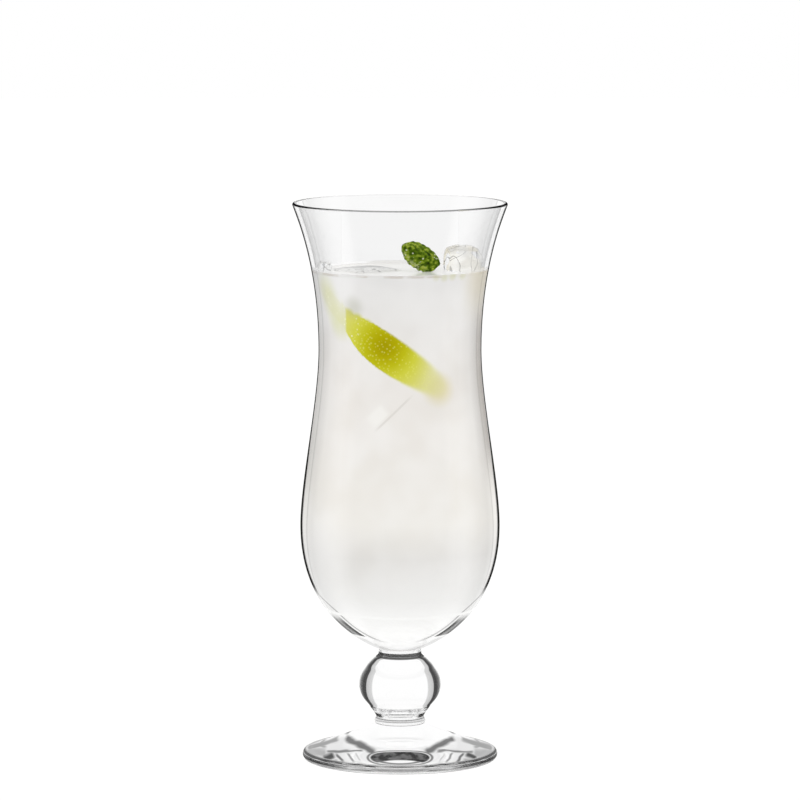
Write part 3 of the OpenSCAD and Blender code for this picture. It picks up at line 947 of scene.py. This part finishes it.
def paint(name, turns, heights, grid):
    """Writes a map over turn and height to an attribute of the drink's skin."""
    co = np.empty(len(drink.data.vertices) * 3)
    drink.data.vertices.foreach_get("co", co)
    co = co.reshape(-1, 3)
    column = (np.arctan2(co[:, 0], -co[:, 1]) - turns[0]) / (turns[1] - turns[0])
    row = (co[:, 2] - heights[0]) / (heights[1] - heights[0])
    inside_map = (column >= 0) & (column < len(turns) - 1) & (row >= 0) & (row < len(heights) - 1)
    c, r = np.clip(column, 0, len(turns) - 1.001), np.clip(row, 0, len(heights) - 1.001)
    c0, r0 = c.astype(int), r.astype(int)
    cf, rf = c - c0, r - r0
    value = ((grid[r0, c0] * (1 - cf) + grid[r0, c0 + 1] * cf) * (1 - rf)
             + (grid[r0 + 1, c0] * (1 - cf) + grid[r0 + 1, c0 + 1] * cf) * rf)
    value = np.where(inside_map & (np.hypot(co[:, 0], co[:, 1]) > SKIN_FROM * waist_r), value, 0)
    attribute = drink.data.attributes.new(name, "FLOAT", "POINT")
    attribute.data.foreach_set("value", value.astype(np.float32))
    print(name, "reaches", round(float(value.max()), 2))


peel_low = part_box("lime_peel")[0]
turns, heights, depth, _ = depth_map(["lime_peel"], peel_low.z - 6 * MM, drink_z - 0.2 * MM)
paint("peel_seen", turns, heights, seen_through_cloud(depth, CLOUD_DEPTH))
sunk = ["ice_cube_upper", "ice_cube_middle", "ice_cube_low", "ice_cube_left"]
turns, heights, depth, normal = depth_map(sunk, bowl_z + 22 * MM, drink_z - 0.3 * MM)
to_light = 0.5 * normal[..., 2] - 0.8 * normal[..., 0] + 0.1
light, shade = np.clip(to_light, 0, 1), np.clip(-to_light, 0, 1)
paint("ice_painted_light", turns, heights, 0.75 * seen_through_cloud(depth, ICE_DEPTH, light))
paint("ice_painted_shade", turns, heights, 0.45 * seen_through_cloud(depth, ICE_DEPTH, shade))

# %% [markdown]
# Lime juice, coconut or cream makes a drink milky. Low in the bowl, where the light gathers, it is
# painted almost white, and a little greyer above. Uneven clouds keep it from looking like paint,
# and the ice in it shows as paler and darker patches of painted light and shade.

# %% Colour of the drink
drink_material, tree, output = new_material("cloudy_lime_drink")
place, height = object_place(tree)
side_x = part_of(tree, place, "X")
DRINK_COLOURS = [
    (0.0, colour("#FFFFFF")), (0.12, colour("#FDFDFC")), (0.20, colour("#F0EFED")),
    (0.27, colour("#E8E6E3")), (0.36, colour("#F0EDE7")), (0.70, colour("#EBE7E2")),
    (1.0, colour("#E9E8E7"))]


def painted(tree, name):
    """A value that is stored at the points of the piece."""
    return add(tree, "ShaderNodeAttribute", {"attribute_name": name}).outputs["Fac"]


def tinted(tree, under, share, hex_value):
    """A colour with a share of another over it."""
    return blend(tree, share, under, colour(hex_value))


def share_between(tree, value, low, high):
    """How far a value has come from low to high, in a straight line."""
    return add(tree, "ShaderNodeMapRange", None, {
        "Value": value, "From Min": low, "From Max": high}).outputs[0]


# Painted light: the drink is whitest low in the bowl, where the light gathers
body_colour = ramp(tree, share_between(tree, height, bowl_z, drink_z), DRINK_COLOURS)
cloud = step_between(tree, noise(tree, 22 * MM), 0.35, 0.65)
body_colour = tinted(tree, body_colour, times(tree, cloud, 0.25), "#FFFFFF")
# Painted light and shade on the faces of the sunk ice, paler where they face the light
body_colour = tinted(tree, body_colour, painted(tree, "ice_painted_light"), "#FFFFFF")
body_colour = tinted(tree, body_colour, painted(tree, "ice_painted_shade"), "#BDBCB2")
print("drink: body colour with", len(DRINK_COLOURS), "steps of height")

# %% [markdown]
# The peel is a curled strip of rind. It is deepest in colour, an olive green, just behind the front
# wall, and pales from there into yellow-green. The strip runs up into a pale tail on the left,
# which only tints the drink, and fades into a warm patch on the right.

# %% Soft ends of the peel
PALE_TAIL = [(-25.6, -14.5, 176.5), (-24.4, -16.0, 171.5), (-22.6, -18.5, 166.5), (-21.0, -20.0, 163.0)]
WARM_END = (13.8, -25.0, 140.0)


def distance_to(tree, point):
    """Distance of the place from a point given in millimetres, in metres."""
    return vector_node(tree, "DISTANCE", object_place(tree)[0], [c * MM for c in point])


def spot(tree, point, edge, core, share=1.0):
    """A soft round mark: nothing outside its edge, and all of its share inside its core."""
    return step_mm(tree, distance_to(tree, point), edge, core, 0.0, share)


for point in PALE_TAIL:
    body_colour = tinted(tree, body_colour, spot(tree, point, 7.5, 1.5, 0.40), "#DCDFA0")
body_colour = tinted(tree, body_colour, spot(tree, WARM_END, 8.0, 2.0, 0.5), "#DED290")
print("peel:", len(PALE_TAIL), "spots in its tail")

# %% Rind of the peel
DEEPEST = (-5.4, -27.0, 156.0)
# Colours of the rind by the distance from its deepest place, in metres
RIND_COLOURS = [
    (0.0, colour("#A39700")), (0.0035, colour("#AFA600")), (0.0075, colour("#BFBC10")),
    (0.012, colour("#D2D244")), (0.018, colour("#DAD872")), (0.03, colour("#DAD690"))]
# Three spots square off the upper left corner, where the strip comes up to the wall
CORNER = [(-18.6, -21.6, 165.8), (-15.8, -23.8, 164.2), (-12.5, -25.6, 162.2)]
# Oil pores of a real rind are 0.5 to 1 mm apart, each with a pale dot of painted highlight. They are drawn a
# little coarser, so that they show.
PORE = 1.2 * MM

rind = ramp(tree, distance_to(tree, DEEPEST), RIND_COLOURS)
# Pale dots on the pores: painted highlights
rind = tinted(tree, rind, step_between(tree, cells(tree, PORE), 0.38, 0.18, 0.0, 0.4), "#E2E272")
peel_mix = step_between(tree, painted(tree, "peel_seen"), 0.04, 0.60)
peel_mix = largest(tree, peel_mix, *[spot(tree, point, 4.6, 2.4) for point in CORNER])
# The left end is crisp there, and past it only a trace is left
past_end = largest(tree, step_mm(tree, height, 162, 156), step_mm(tree, side_x, -20.2, -19.2))
peel_mix = times(tree, peel_mix, math_node(tree, "MULTIPLY_ADD", past_end, 0.85, 0.15))
skin_colour = blend(tree, peel_mix, body_colour, rind)
print("peel: pores", round(PORE / MM, 1), "mm apart")

# %% [markdown]
# Fine bubbles cling to the left end of the peel. Each is drawn as a pale dot of painted highlight in
# the middle of a cell, and only where the peel shows.

# %% Bubbles on the peel
# Real bubbles are well under a millimetre. Drawn in cells this wide they still show.
BUBBLE = 1.6 * MM
bubble_zone = times(tree, step_mm(tree, side_x, -12, -19), step_between(tree, peel_mix, 0.02, 0.2))
# Each bubble shows as a pale dot, its painted highlight
bubble_glints = times(tree, step_between(tree, cells(tree, BUBBLE), 0.26, 0.16, 0.0, 0.8), bubble_zone)
skin_colour = tinted(tree, skin_colour, bubble_glints, "#F6F7D8")
print("peel: bubbles in cells of", round(BUBBLE / MM, 1), "mm")

# %% [markdown]
# The surface is pale. Where it climbs the wall its edge catches the light as a white line, which is
# brightest at the sides, and at the foot of the climb there is a thin, broken line of tan.

# %% Surface of the drink
upward = part_of(tree, true_normal(tree), "Z")
above_level = math_node(tree, "SUBTRACT", height, drink_z)
surface_zone = step_between(tree, upward, 0.25, 0.45)
beside_surface = rest_of(tree, surface_zone)
skin_colour = tinted(tree, skin_colour, surface_zone, "#E6E5E2")
tan_break = step_between(tree, noise(tree, 7 * MM), 0.45, 0.62, 0.05, 0.36)
tan_line = times(tree, band_mm(tree, above_level, -0.3, 0.1, 0.6, 0.9), beside_surface, tan_break)
skin_colour = tinted(tree, skin_colour, tan_line, "#A58F78")
bright_sides = step_mm(tree, math_node(tree, "ABSOLUTE", side_x), 9, 14, 0.15, 0.9)
bright_rim = times(tree, step_between(tree, upward, 0.10, 0.25),
                   step_mm(tree, above_level, 0.12, 0.3), bright_sides)
skin_colour = tinted(tree, skin_colour, bright_rim, "#FFFFFF")
print("drink: level at", round(drink_z / MM, 1), "mm")

# %% [markdown]
# A few green flecks float at the right of the surface, and below the left ice a grey-green blob is
# a painted soft shadow. They are small and soft, so spots of colour do for them.

# %% Flecks and painted shadow
FLECKS = [(12.5, -26.9, 181.4), (15.5, -25.6, 181.2), (18.5, -23.8, 181.5), (21.5, -21.0, 181.6)]
SHADOW_BELOW_ICE = (-17.2, -24.5, 169.8)
for point in FLECKS:
    skin_colour = tinted(tree, skin_colour, spot(tree, point, 2.6, 1.0, 0.4), "#C9C98E")
# A painted soft shadow below the left ice
skin_colour = tinted(tree, skin_colour, spot(tree, SHADOW_BELOW_ICE, 6.0, 0.5, 0.4), "#A9AA94")
print("drink:", len(FLECKS), "flecks and a blob")

# %% [markdown]
# One sunk cube comes close enough to the front wall to show an edge: a thin diagonal line of painted
# shade, with painted light on the face of the cube above its left half. The maps blur such a fine
# line away, so it is drawn in its own two directions, across and along.

# %% Edge of a sunk cube
EDGE_X, EDGE_Z = -2.4 * MM, 131.6 * MM
# The edge rises to the right at about 44 degrees
EDGE_COS, EDGE_SIN = 0.72, 0.69
edge_x = math_node(tree, "SUBTRACT", side_x, EDGE_X)
edge_z = math_node(tree, "SUBTRACT", height, EDGE_Z)
across_edge = math_node(tree, "SUBTRACT", times(tree, edge_x, EDGE_SIN), times(tree, edge_z, EDGE_COS))
along_edge = math_node(tree, "ADD", times(tree, edge_x, EDGE_COS), times(tree, edge_z, EDGE_SIN))
# 1 at the front of the glass, and -1 at its back
front = math_node(tree, "DIVIDE", part_of(tree, place, "Y"), -waist_r)
edge_fade = times(tree, band_mm(tree, along_edge, -10, -6, 5, 11), step_between(tree, front, 0.1, 0.5))
# A thin line of painted shade along the cube's edge
thin_edge = step_mm(tree, math_node(tree, "ABSOLUTE", across_edge), 0.55, 0.2, 0.0, 0.28)
skin_colour = tinted(tree, skin_colour, times(tree, thin_edge, edge_fade), "#BDB9B0")
# Painted light on the cube's face above the left half of the edge
painted_lit_face = times(tree, band_mm(tree, across_edge, -6.5, -4.5, -1.6, -0.6),
                    step_mm(tree, along_edge, 0.0, -2.5))
skin_colour = tinted(tree, skin_colour, times(tree, painted_lit_face, edge_fade, 0.45), "#FBFAF6")
print("sunk cube's edge at", round(EDGE_Z / MM, 1), "mm")

# %% [markdown]
# Towards the sides the eye meets less cloud and more of the dark studio, and at the upper right the
# light is warm. A trace of emission stands for the light that scatters inside the cloud, more of
# it low down, where the round bowl gathers light. The surface is shinier than the wetted skin.

# %% Finish of the drink
SIDE_SHADE = [(0.0, 0.0), (0.62, 0.0), (0.80, 0.20), (0.93, 0.5), (1.0, 0.6)]
side_dark = times(tree, ramp(tree, turn_away(tree), SIDE_SHADE), step_mm(tree, height, 90, 118, 0.12, 1.0),
                  step_mm(tree, height, 56, 66), beside_surface)
skin_colour = tinted(tree, skin_colour, side_dark, "#8C8982")
warm = times(tree, step_mm(tree, side_x, 20, 29), step_mm(tree, height, 158, 178), 0.7)
skin_colour = tinted(tree, skin_colour, warm, "#E2D8BC")
drink_shader = add(tree, "ShaderNodeBsdfPrincipled", None, {
    "Base Color": skin_colour, "Roughness": 0.2, "IOR": DRINK_IOR,
    "Emission Color": skin_colour, "Emission Strength": step_mm(tree, height, 62, 45, 0.10, 0.32),
    "Specular IOR Level": step_between(tree, surface_zone, 0.0, 1.0, 0.08, 0.5)})
tree.links.new(drink_shader.outputs[0], output.inputs["Surface"])
drink.data.materials.append(drink_material)
shade_smooth(drink)
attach(drink, "filled_glass")
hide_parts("drink")
print(drink.name, len(drink.data.polygons), "faces,", len(tree.nodes), "nodes in its material")

# %% [markdown]
# Ice from a tray is clear at its skin and cracked inside. The cracks are drawn where a slow noise
# crosses its middle value, which gives thin wandering lines. The edges get painted dark as those of
# glass do, and the drink has melted the corners, so a faint painted grey shade marks where the top
# turns down.

# %% Ice material
ICE_IOR = 1.31
CRACKS = [(0.0, 0.0), (0.48, 0.0), (0.495, 0.45), (0.505, 0.45), (0.52, 0.0)]
ICE_EDGES = [(0.0, 0.0), (0.6, 0.0), (0.86, 0.07), (0.93, 0.28), (1.0, 0.75)]


def clear_ice():
    """Clear melting ice, whose thin cracks and painted soft dark edges also show through the bowl."""
    material, tree, output = new_material("melting_clear_ice")
    cracks = ramp(tree, noise(tree, 7 * MM, 1.0), CRACKS)
    upward = part_of(tree, true_normal(tree), "Z")
    # Painted shade where the top turns down into the sides
    painted_top_edge_shade = times(tree, step_between(tree, upward, 0.3, 0.55, 0.0, 0.16),
                   step_between(tree, upward, 0.97, 0.85))
    dark = largest(tree, cracks, ramp(tree, turn_away(tree), ICE_EDGES), painted_top_edge_shade)
    glass_shader(tree, output, colour("#FDFEFF"), dark, ICE_IOR, through_glass=True)
    return material


ice_material = clear_ice()
print(ice_material.name, len(ice_material.node_tree.nodes), "nodes")

# %% [markdown]
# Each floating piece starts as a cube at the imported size, turned and placed as packed. It is
# divided, drawn a little towards a ball, and roughened with a cloud texture, because melting is
# uneven. Sculpting by hand would give more, but these few steps can be read and changed. The
# three sunk cubes can't be seen as such, so they keep their packed form.

# %% Floating ice
ICE_CUTS = 24
CHIP_CUTS = 12


def floating_ice(name, node, body, edge, turn, roundness, roughness, cuts=ICE_CUTS):
    """A melted cube in the place of a packed one. Its edge and its roughness are in metres."""
    low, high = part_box(node)
    deselect_all()
    bpy.ops.mesh.primitive_cube_add(size=edge, location=(low + high) / 2)
    piece = bpy.context.object
    piece.name = piece.data.name = name
    bpy.ops.object.mode_set(mode="EDIT")
    bpy.ops.mesh.select_all(action="SELECT")
    bpy.ops.mesh.subdivide(number_cuts=cuts)
    bpy.ops.transform.tosphere(value=roundness)
    bpy.ops.transform.rotate(value=-math.radians(turn), orient_axis="Z", center_override=(low + high) / 2)
    bpy.ops.mesh.vertices_smooth(factor=0.5, repeat=4)
    bpy.ops.object.mode_set(mode="OBJECT")
    bpy.ops.object.transform_apply(location=True, rotation=True, scale=True)
    melt = bpy.data.textures.new(name, "CLOUDS")
    melt.noise_scale = edge * 0.75
    melt.noise_depth = 1
    wear = piece.modifiers.new("melt", "DISPLACE")
    wear.texture = melt
    wear.texture_coords = "OBJECT"
    wear.strength = roughness
    wear.mid_level = 0.55
    bpy.ops.object.modifier_apply(modifier="melt")
    bpy.ops.object.shade_smooth()
    piece.data.materials.append(ice_material)
    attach(piece, body)
    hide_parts(node)
    print(piece.name, len(piece.data.polygons), "faces")


floating_ice("melting_ice_left", "ice_cube_left", "left_ice", 20 * MM, 217, 0.12, 0.6 * MM)
floating_ice("melting_ice_right", "ice_cube_right", "right_ice", 12.6 * MM, 5, 0.7, 2.4 * MM)
floating_ice("melting_ice_chip", "ice_chip", "chip", 4.8 * MM, 4, 0.3, 1.2 * MM, CHIP_CUTS)

# %% [markdown]
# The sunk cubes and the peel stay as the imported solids, inside the drink. The drink's skin already
# shows them, so they only need a plain material of their own: ice for the cubes, and the waxy
# green of a lime for the peel, for a view in which the drink is hidden.

# %% Sunk ice and peel
def dress(node, material):
    """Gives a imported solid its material."""
    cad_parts[node].data.materials.clear()
    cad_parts[node].data.materials.append(material)
    print(node, "is", material.name)


for node in ("ice_cube_upper", "ice_cube_middle", "ice_cube_low"):
    dress(node, ice_material)
peel_material, tree, output = new_material("lime_rind")
peel_shader = add(tree, "ShaderNodeBsdfPrincipled", None, {"Base Color": colour("#B4B427"), "Roughness": 0.5})
tree.links.new(peel_shader.outputs[0], output.inputs["Surface"])
dress("lime_peel", peel_material)

# %% [markdown]
# A mint leaf is a toothed blade, folded at its midrib and quilted between its side veins. A grid
# gives it enough points for the quilting, and each point is moved to its place on the blade. A flat
# leaf with a bump texture would be lighter, but its edge and its folds show against the drink.

# %% Shape of the leaf
LEAF_LENGTH, LEAF_WIDTH = 15.2 * MM, 9.4 * MM
LEAF_TILT, LEAF_DROOP = math.radians(55), math.radians(27)
LEAF_TEETH = 7
TOOTH_SHARE = 0.07
QUILT_HEIGHT = 0.28 * MM
# Width along the blade, from the tip to the stalk, above and below the midrib
WIDTH_PLACES = [0, 0.04, 0.10, 0.2, 0.35, 0.6, 0.8, 0.93, 1]
UPPER_SHARES = [0.03, 0.28, 0.55, 0.85, 1.0, 0.95, 0.75, 0.42, 0.05]
LOWER_SHARES = [0.06, 0.36, 0.58, 0.84, 1.06, 1.12, 1.00, 0.62, 0.05]


def leaf_point(u, v):
    """u from the tip to the stalk, v across from -1 to 1."""
    tooth = 1 + TOOTH_SHARE * abs(math.sin(math.pi * LEAF_TEETH * (u + 0.04 * abs(v))))
    shares = UPPER_SHARES if v > 0 else LOWER_SHARES
    half = LEAF_WIDTH / 2 * float(np.interp(u, WIDTH_PLACES, shares)) * tooth
    quilt = QUILT_HEIGHT * abs(math.sin(math.pi * (LEAF_TEETH * u + 2.2 * abs(v)))) * (1 - abs(v) ** 4)
    x, y = LEAF_LENGTH * u, half * v
    z = -half * 0.4 * abs(v) + LEAF_LENGTH * 0.05 * math.sin(math.pi * u) + quilt * min(1, 8 * abs(v))
    y, z = (y * math.cos(LEAF_TILT) - z * math.sin(LEAF_TILT),
            y * math.sin(LEAF_TILT) + z * math.cos(LEAF_TILT))
    return Vector((x * math.cos(LEAF_DROOP) + z * math.sin(LEAF_DROOP), y,
                   z * math.cos(LEAF_DROOP) - x * math.sin(LEAF_DROOP)))


print("leaf", round(LEAF_LENGTH / MM, 1), "mm long, with", LEAF_TEETH, "teeth to a side")

# %% Leaf blade
LEAF_THICK = 0.5 * MM

deselect_all()
bpy.ops.mesh.primitive_grid_add(x_subdivisions=112, y_subdivisions=64, size=2)
leaf = bpy.context.object
leaf.name = leaf.data.name = "mint_leaf_blade"
along = leaf.data.attributes.new("leaf_along", "FLOAT", "POINT")
across = leaf.data.attributes.new("leaf_across", "FLOAT", "POINT")
for vertex in leaf.data.vertices:
    u, v = (vertex.co.x + 1) / 2, vertex.co.y
    along.data[vertex.index].value = u
    across.data[vertex.index].value = v
    vertex.co = leaf_point(u, v)
thickness = leaf.modifiers.new("thickness", "SOLIDIFY")
thickness.thickness = LEAF_THICK
thickness.offset = 0
bpy.ops.object.modifier_apply(modifier="thickness")
print(leaf.name, len(leaf.data.polygons), "faces")

# %% Seat the leaf
packed_low, packed_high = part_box("mint_leaf")
blade_low = Vector([min(v.co[i] for v in leaf.data.vertices) for i in range(3)])
blade_high = Vector([max(v.co[i] for v in leaf.data.vertices) for i in range(3)])
shift = (packed_low + packed_high - blade_low - blade_high) / 2
for vertex in leaf.data.vertices:
    vertex.co += shift
bpy.ops.object.shade_smooth()
print("leaf moved by", [round(c / MM, 1) for c in shift], "mm to the middle of the packed one")

# %% [markdown]
# The green of a mint leaf is patchy. Noise draws the patches, which are too small to be told from
# the quilting. Fine hairs hold dew, which shows as pale specks, and as a frosty side below.
# The rim lets light through, and is a little yellower. A fine bump gives the blade its matt skin.

# %% Colours of the leaf
LEAF_GREENS = [(0.32, colour("#263800")), (0.44, colour("#466002")),
               (0.54, colour("#688214")), (0.66, colour("#A2B040"))]
leaf_material, tree, output = new_material("mint_leaf_skin")
u, v = painted(tree, "leaf_along"), painted(tree, "leaf_across")
green = ramp(tree, noise(tree, 1.6 * MM, 3.0), LEAF_GREENS)
frost_grain = step_between(tree, noise(tree, 0.9 * MM), 0.46, 0.60, 0.0, 0.75)
frost = times(tree, step_between(tree, v, -0.45, -0.95), step_between(tree, u, 0.9, 0.5), frost_grain)
green = tinted(tree, green, frost, "#B9C08A")
rim_grain = step_between(tree, noise(tree, 1.1 * MM), 0.45, 0.6)
rim_light = times(tree, step_between(tree, math_node(tree, "ABSOLUTE", v), 0.86, 0.98), rim_grain, 0.35)
green = tinted(tree, green, rim_light, "#A9B45A")
print("leaf:", len(LEAF_GREENS), "greens")

# %% Skin of the leaf
# Real dew on mint is as fine as its hairs. It is drawn in cells this wide, so that it shows.
DEW = 1.7 * MM
GRIT = 0.5 * MM
dew_places = step_between(tree, noise(tree, 2.4 * MM), 0.48, 0.56)
dew = times(tree, step_between(tree, cells(tree, DEW), 0.24, 0.16), dew_places, 0.7)
green = tinted(tree, green, dew, "#E4E8C8")
grit = add(tree, "ShaderNodeBump", None, {
    "Height": noise(tree, GRIT, 4.0), "Strength": 0.4, "Distance": 0.3 * MM})
leaf_shader = add(tree, "ShaderNodeBsdfPrincipled", None, {
    "Base Color": green, "Roughness": 0.5, "Specular IOR Level": 0.06, "Normal": grit.outputs[0]})
tree.links.new(leaf_shader.outputs[0], output.inputs["Surface"])
leaf.data.materials.append(leaf_material)
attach(leaf, "leaf")
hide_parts("mint_leaf")
print(leaf_material.name, len(tree.nodes), "nodes")

# %% [markdown]
# A clear glass shows the floor through its foot, so the floor is part of the look. It is a matt
# white sweep for the eye and for the light. Rays that come to it through the glass or off it meet
# rings of white and grey round the axis instead, which stand for the foot's own shadow and gloss.

# %% Floor
RING_REACH = 60 * MM
# Rings under the foot, by their radius as a share of that reach
FLOOR_RINGS = [(0.0, 1.0), (0.17, 1.0), (0.22, 0.5), (0.27, 0.9), (0.36, 0.75), (0.45, 0.35), (0.50, 0.6),
               (0.55, 0.12), (0.60, 0.55), (0.66, 0.8), (0.8, 1.0), (1.0, 1.0)]
# A share of plain white that lifts the floor to the brightness of the backdrop
FLOOR_FILL = 0.27


def by_way_of_glass(tree, path):
    """1 for rays that went through glass or were mirrored by it."""
    return largest(tree, path.outputs["Is Transmission Ray"], path.outputs["Is Glossy Ray"])


deselect_all()
bpy.ops.mesh.primitive_plane_add(size=8, location=(0, 0, 0))
floor = bpy.context.object
floor.name = "floor"
floor_material, tree, output = new_material("white_sweep")
white = add(tree, "ShaderNodeBsdfDiffuse", None, {"Color": colour("#E4E4E3")})
path = add(tree, "ShaderNodeLightPath")
fill = times(tree, path.outputs["Is Camera Ray"], FLOOR_FILL)
fill_glow = add(tree, "ShaderNodeEmission", None, {"Color": WHITE, "Strength": fill})
lit = add(tree, "ShaderNodeAddShader", None, {0: white.outputs[0], 1: fill_glow.outputs[0]})
from_axis = vector_node(tree, "LENGTH", object_place(tree)[0])
rings = ramp(tree, math_node(tree, "DIVIDE", from_axis, RING_REACH), FLOOR_RINGS)
glow = add(tree, "ShaderNodeEmission", None, {"Color": rings, "Strength": 1.0})
seen = over(tree, by_way_of_glass(tree, path), lit.outputs[0], glow.outputs[0])
tree.links.new(seen, output.inputs["Surface"])
floor.data.materials.append(floor_material)
print(floor.name, "is", floor_material.name)

# %% [markdown]
# The light comes evenly from all sides, as in a light tent, so a white world does the work of many
# soft lamps. Only rays that meet it by way of the glass see the dark bands overhead, which lend its
# curves their finer grey lines. The Standard view keeps white as white.

# %% Light
# Brightness of the studio from straight below to straight above
STUDIO_BANDS = [(0.0, 1.0), (0.79, 1.0), (0.83, 0.06), (0.87, 0.2), (0.905, 0.75), (0.93, 0.15),
                (0.965, 0.7), (1.0, 0.3)]
world = bpy.data.worlds.new("studio")
bpy.context.scene.world = world
world.use_nodes = True
tree = world.node_tree
tree.nodes.clear()
world_output = tree.nodes.new("ShaderNodeOutputWorld")
direction = add(tree, "ShaderNodeTexCoord").outputs["Generated"]
studio = ramp(tree, share_between(tree, part_of(tree, direction, "Z"), -1.0, 1.0), STUDIO_BANDS)
path = add(tree, "ShaderNodeLightPath")
sky = blend(tree, by_way_of_glass(tree, path), WHITE, studio)
background = add(tree, "ShaderNodeBackground", None, {"Color": sky, "Strength": 1.0})
tree.links.new(background.outputs[0], world_output.inputs["Surface"])
bpy.context.scene.view_settings.view_transform = "Standard"
print(world.name, "with", len(STUDIO_BANDS), "steps of brightness")
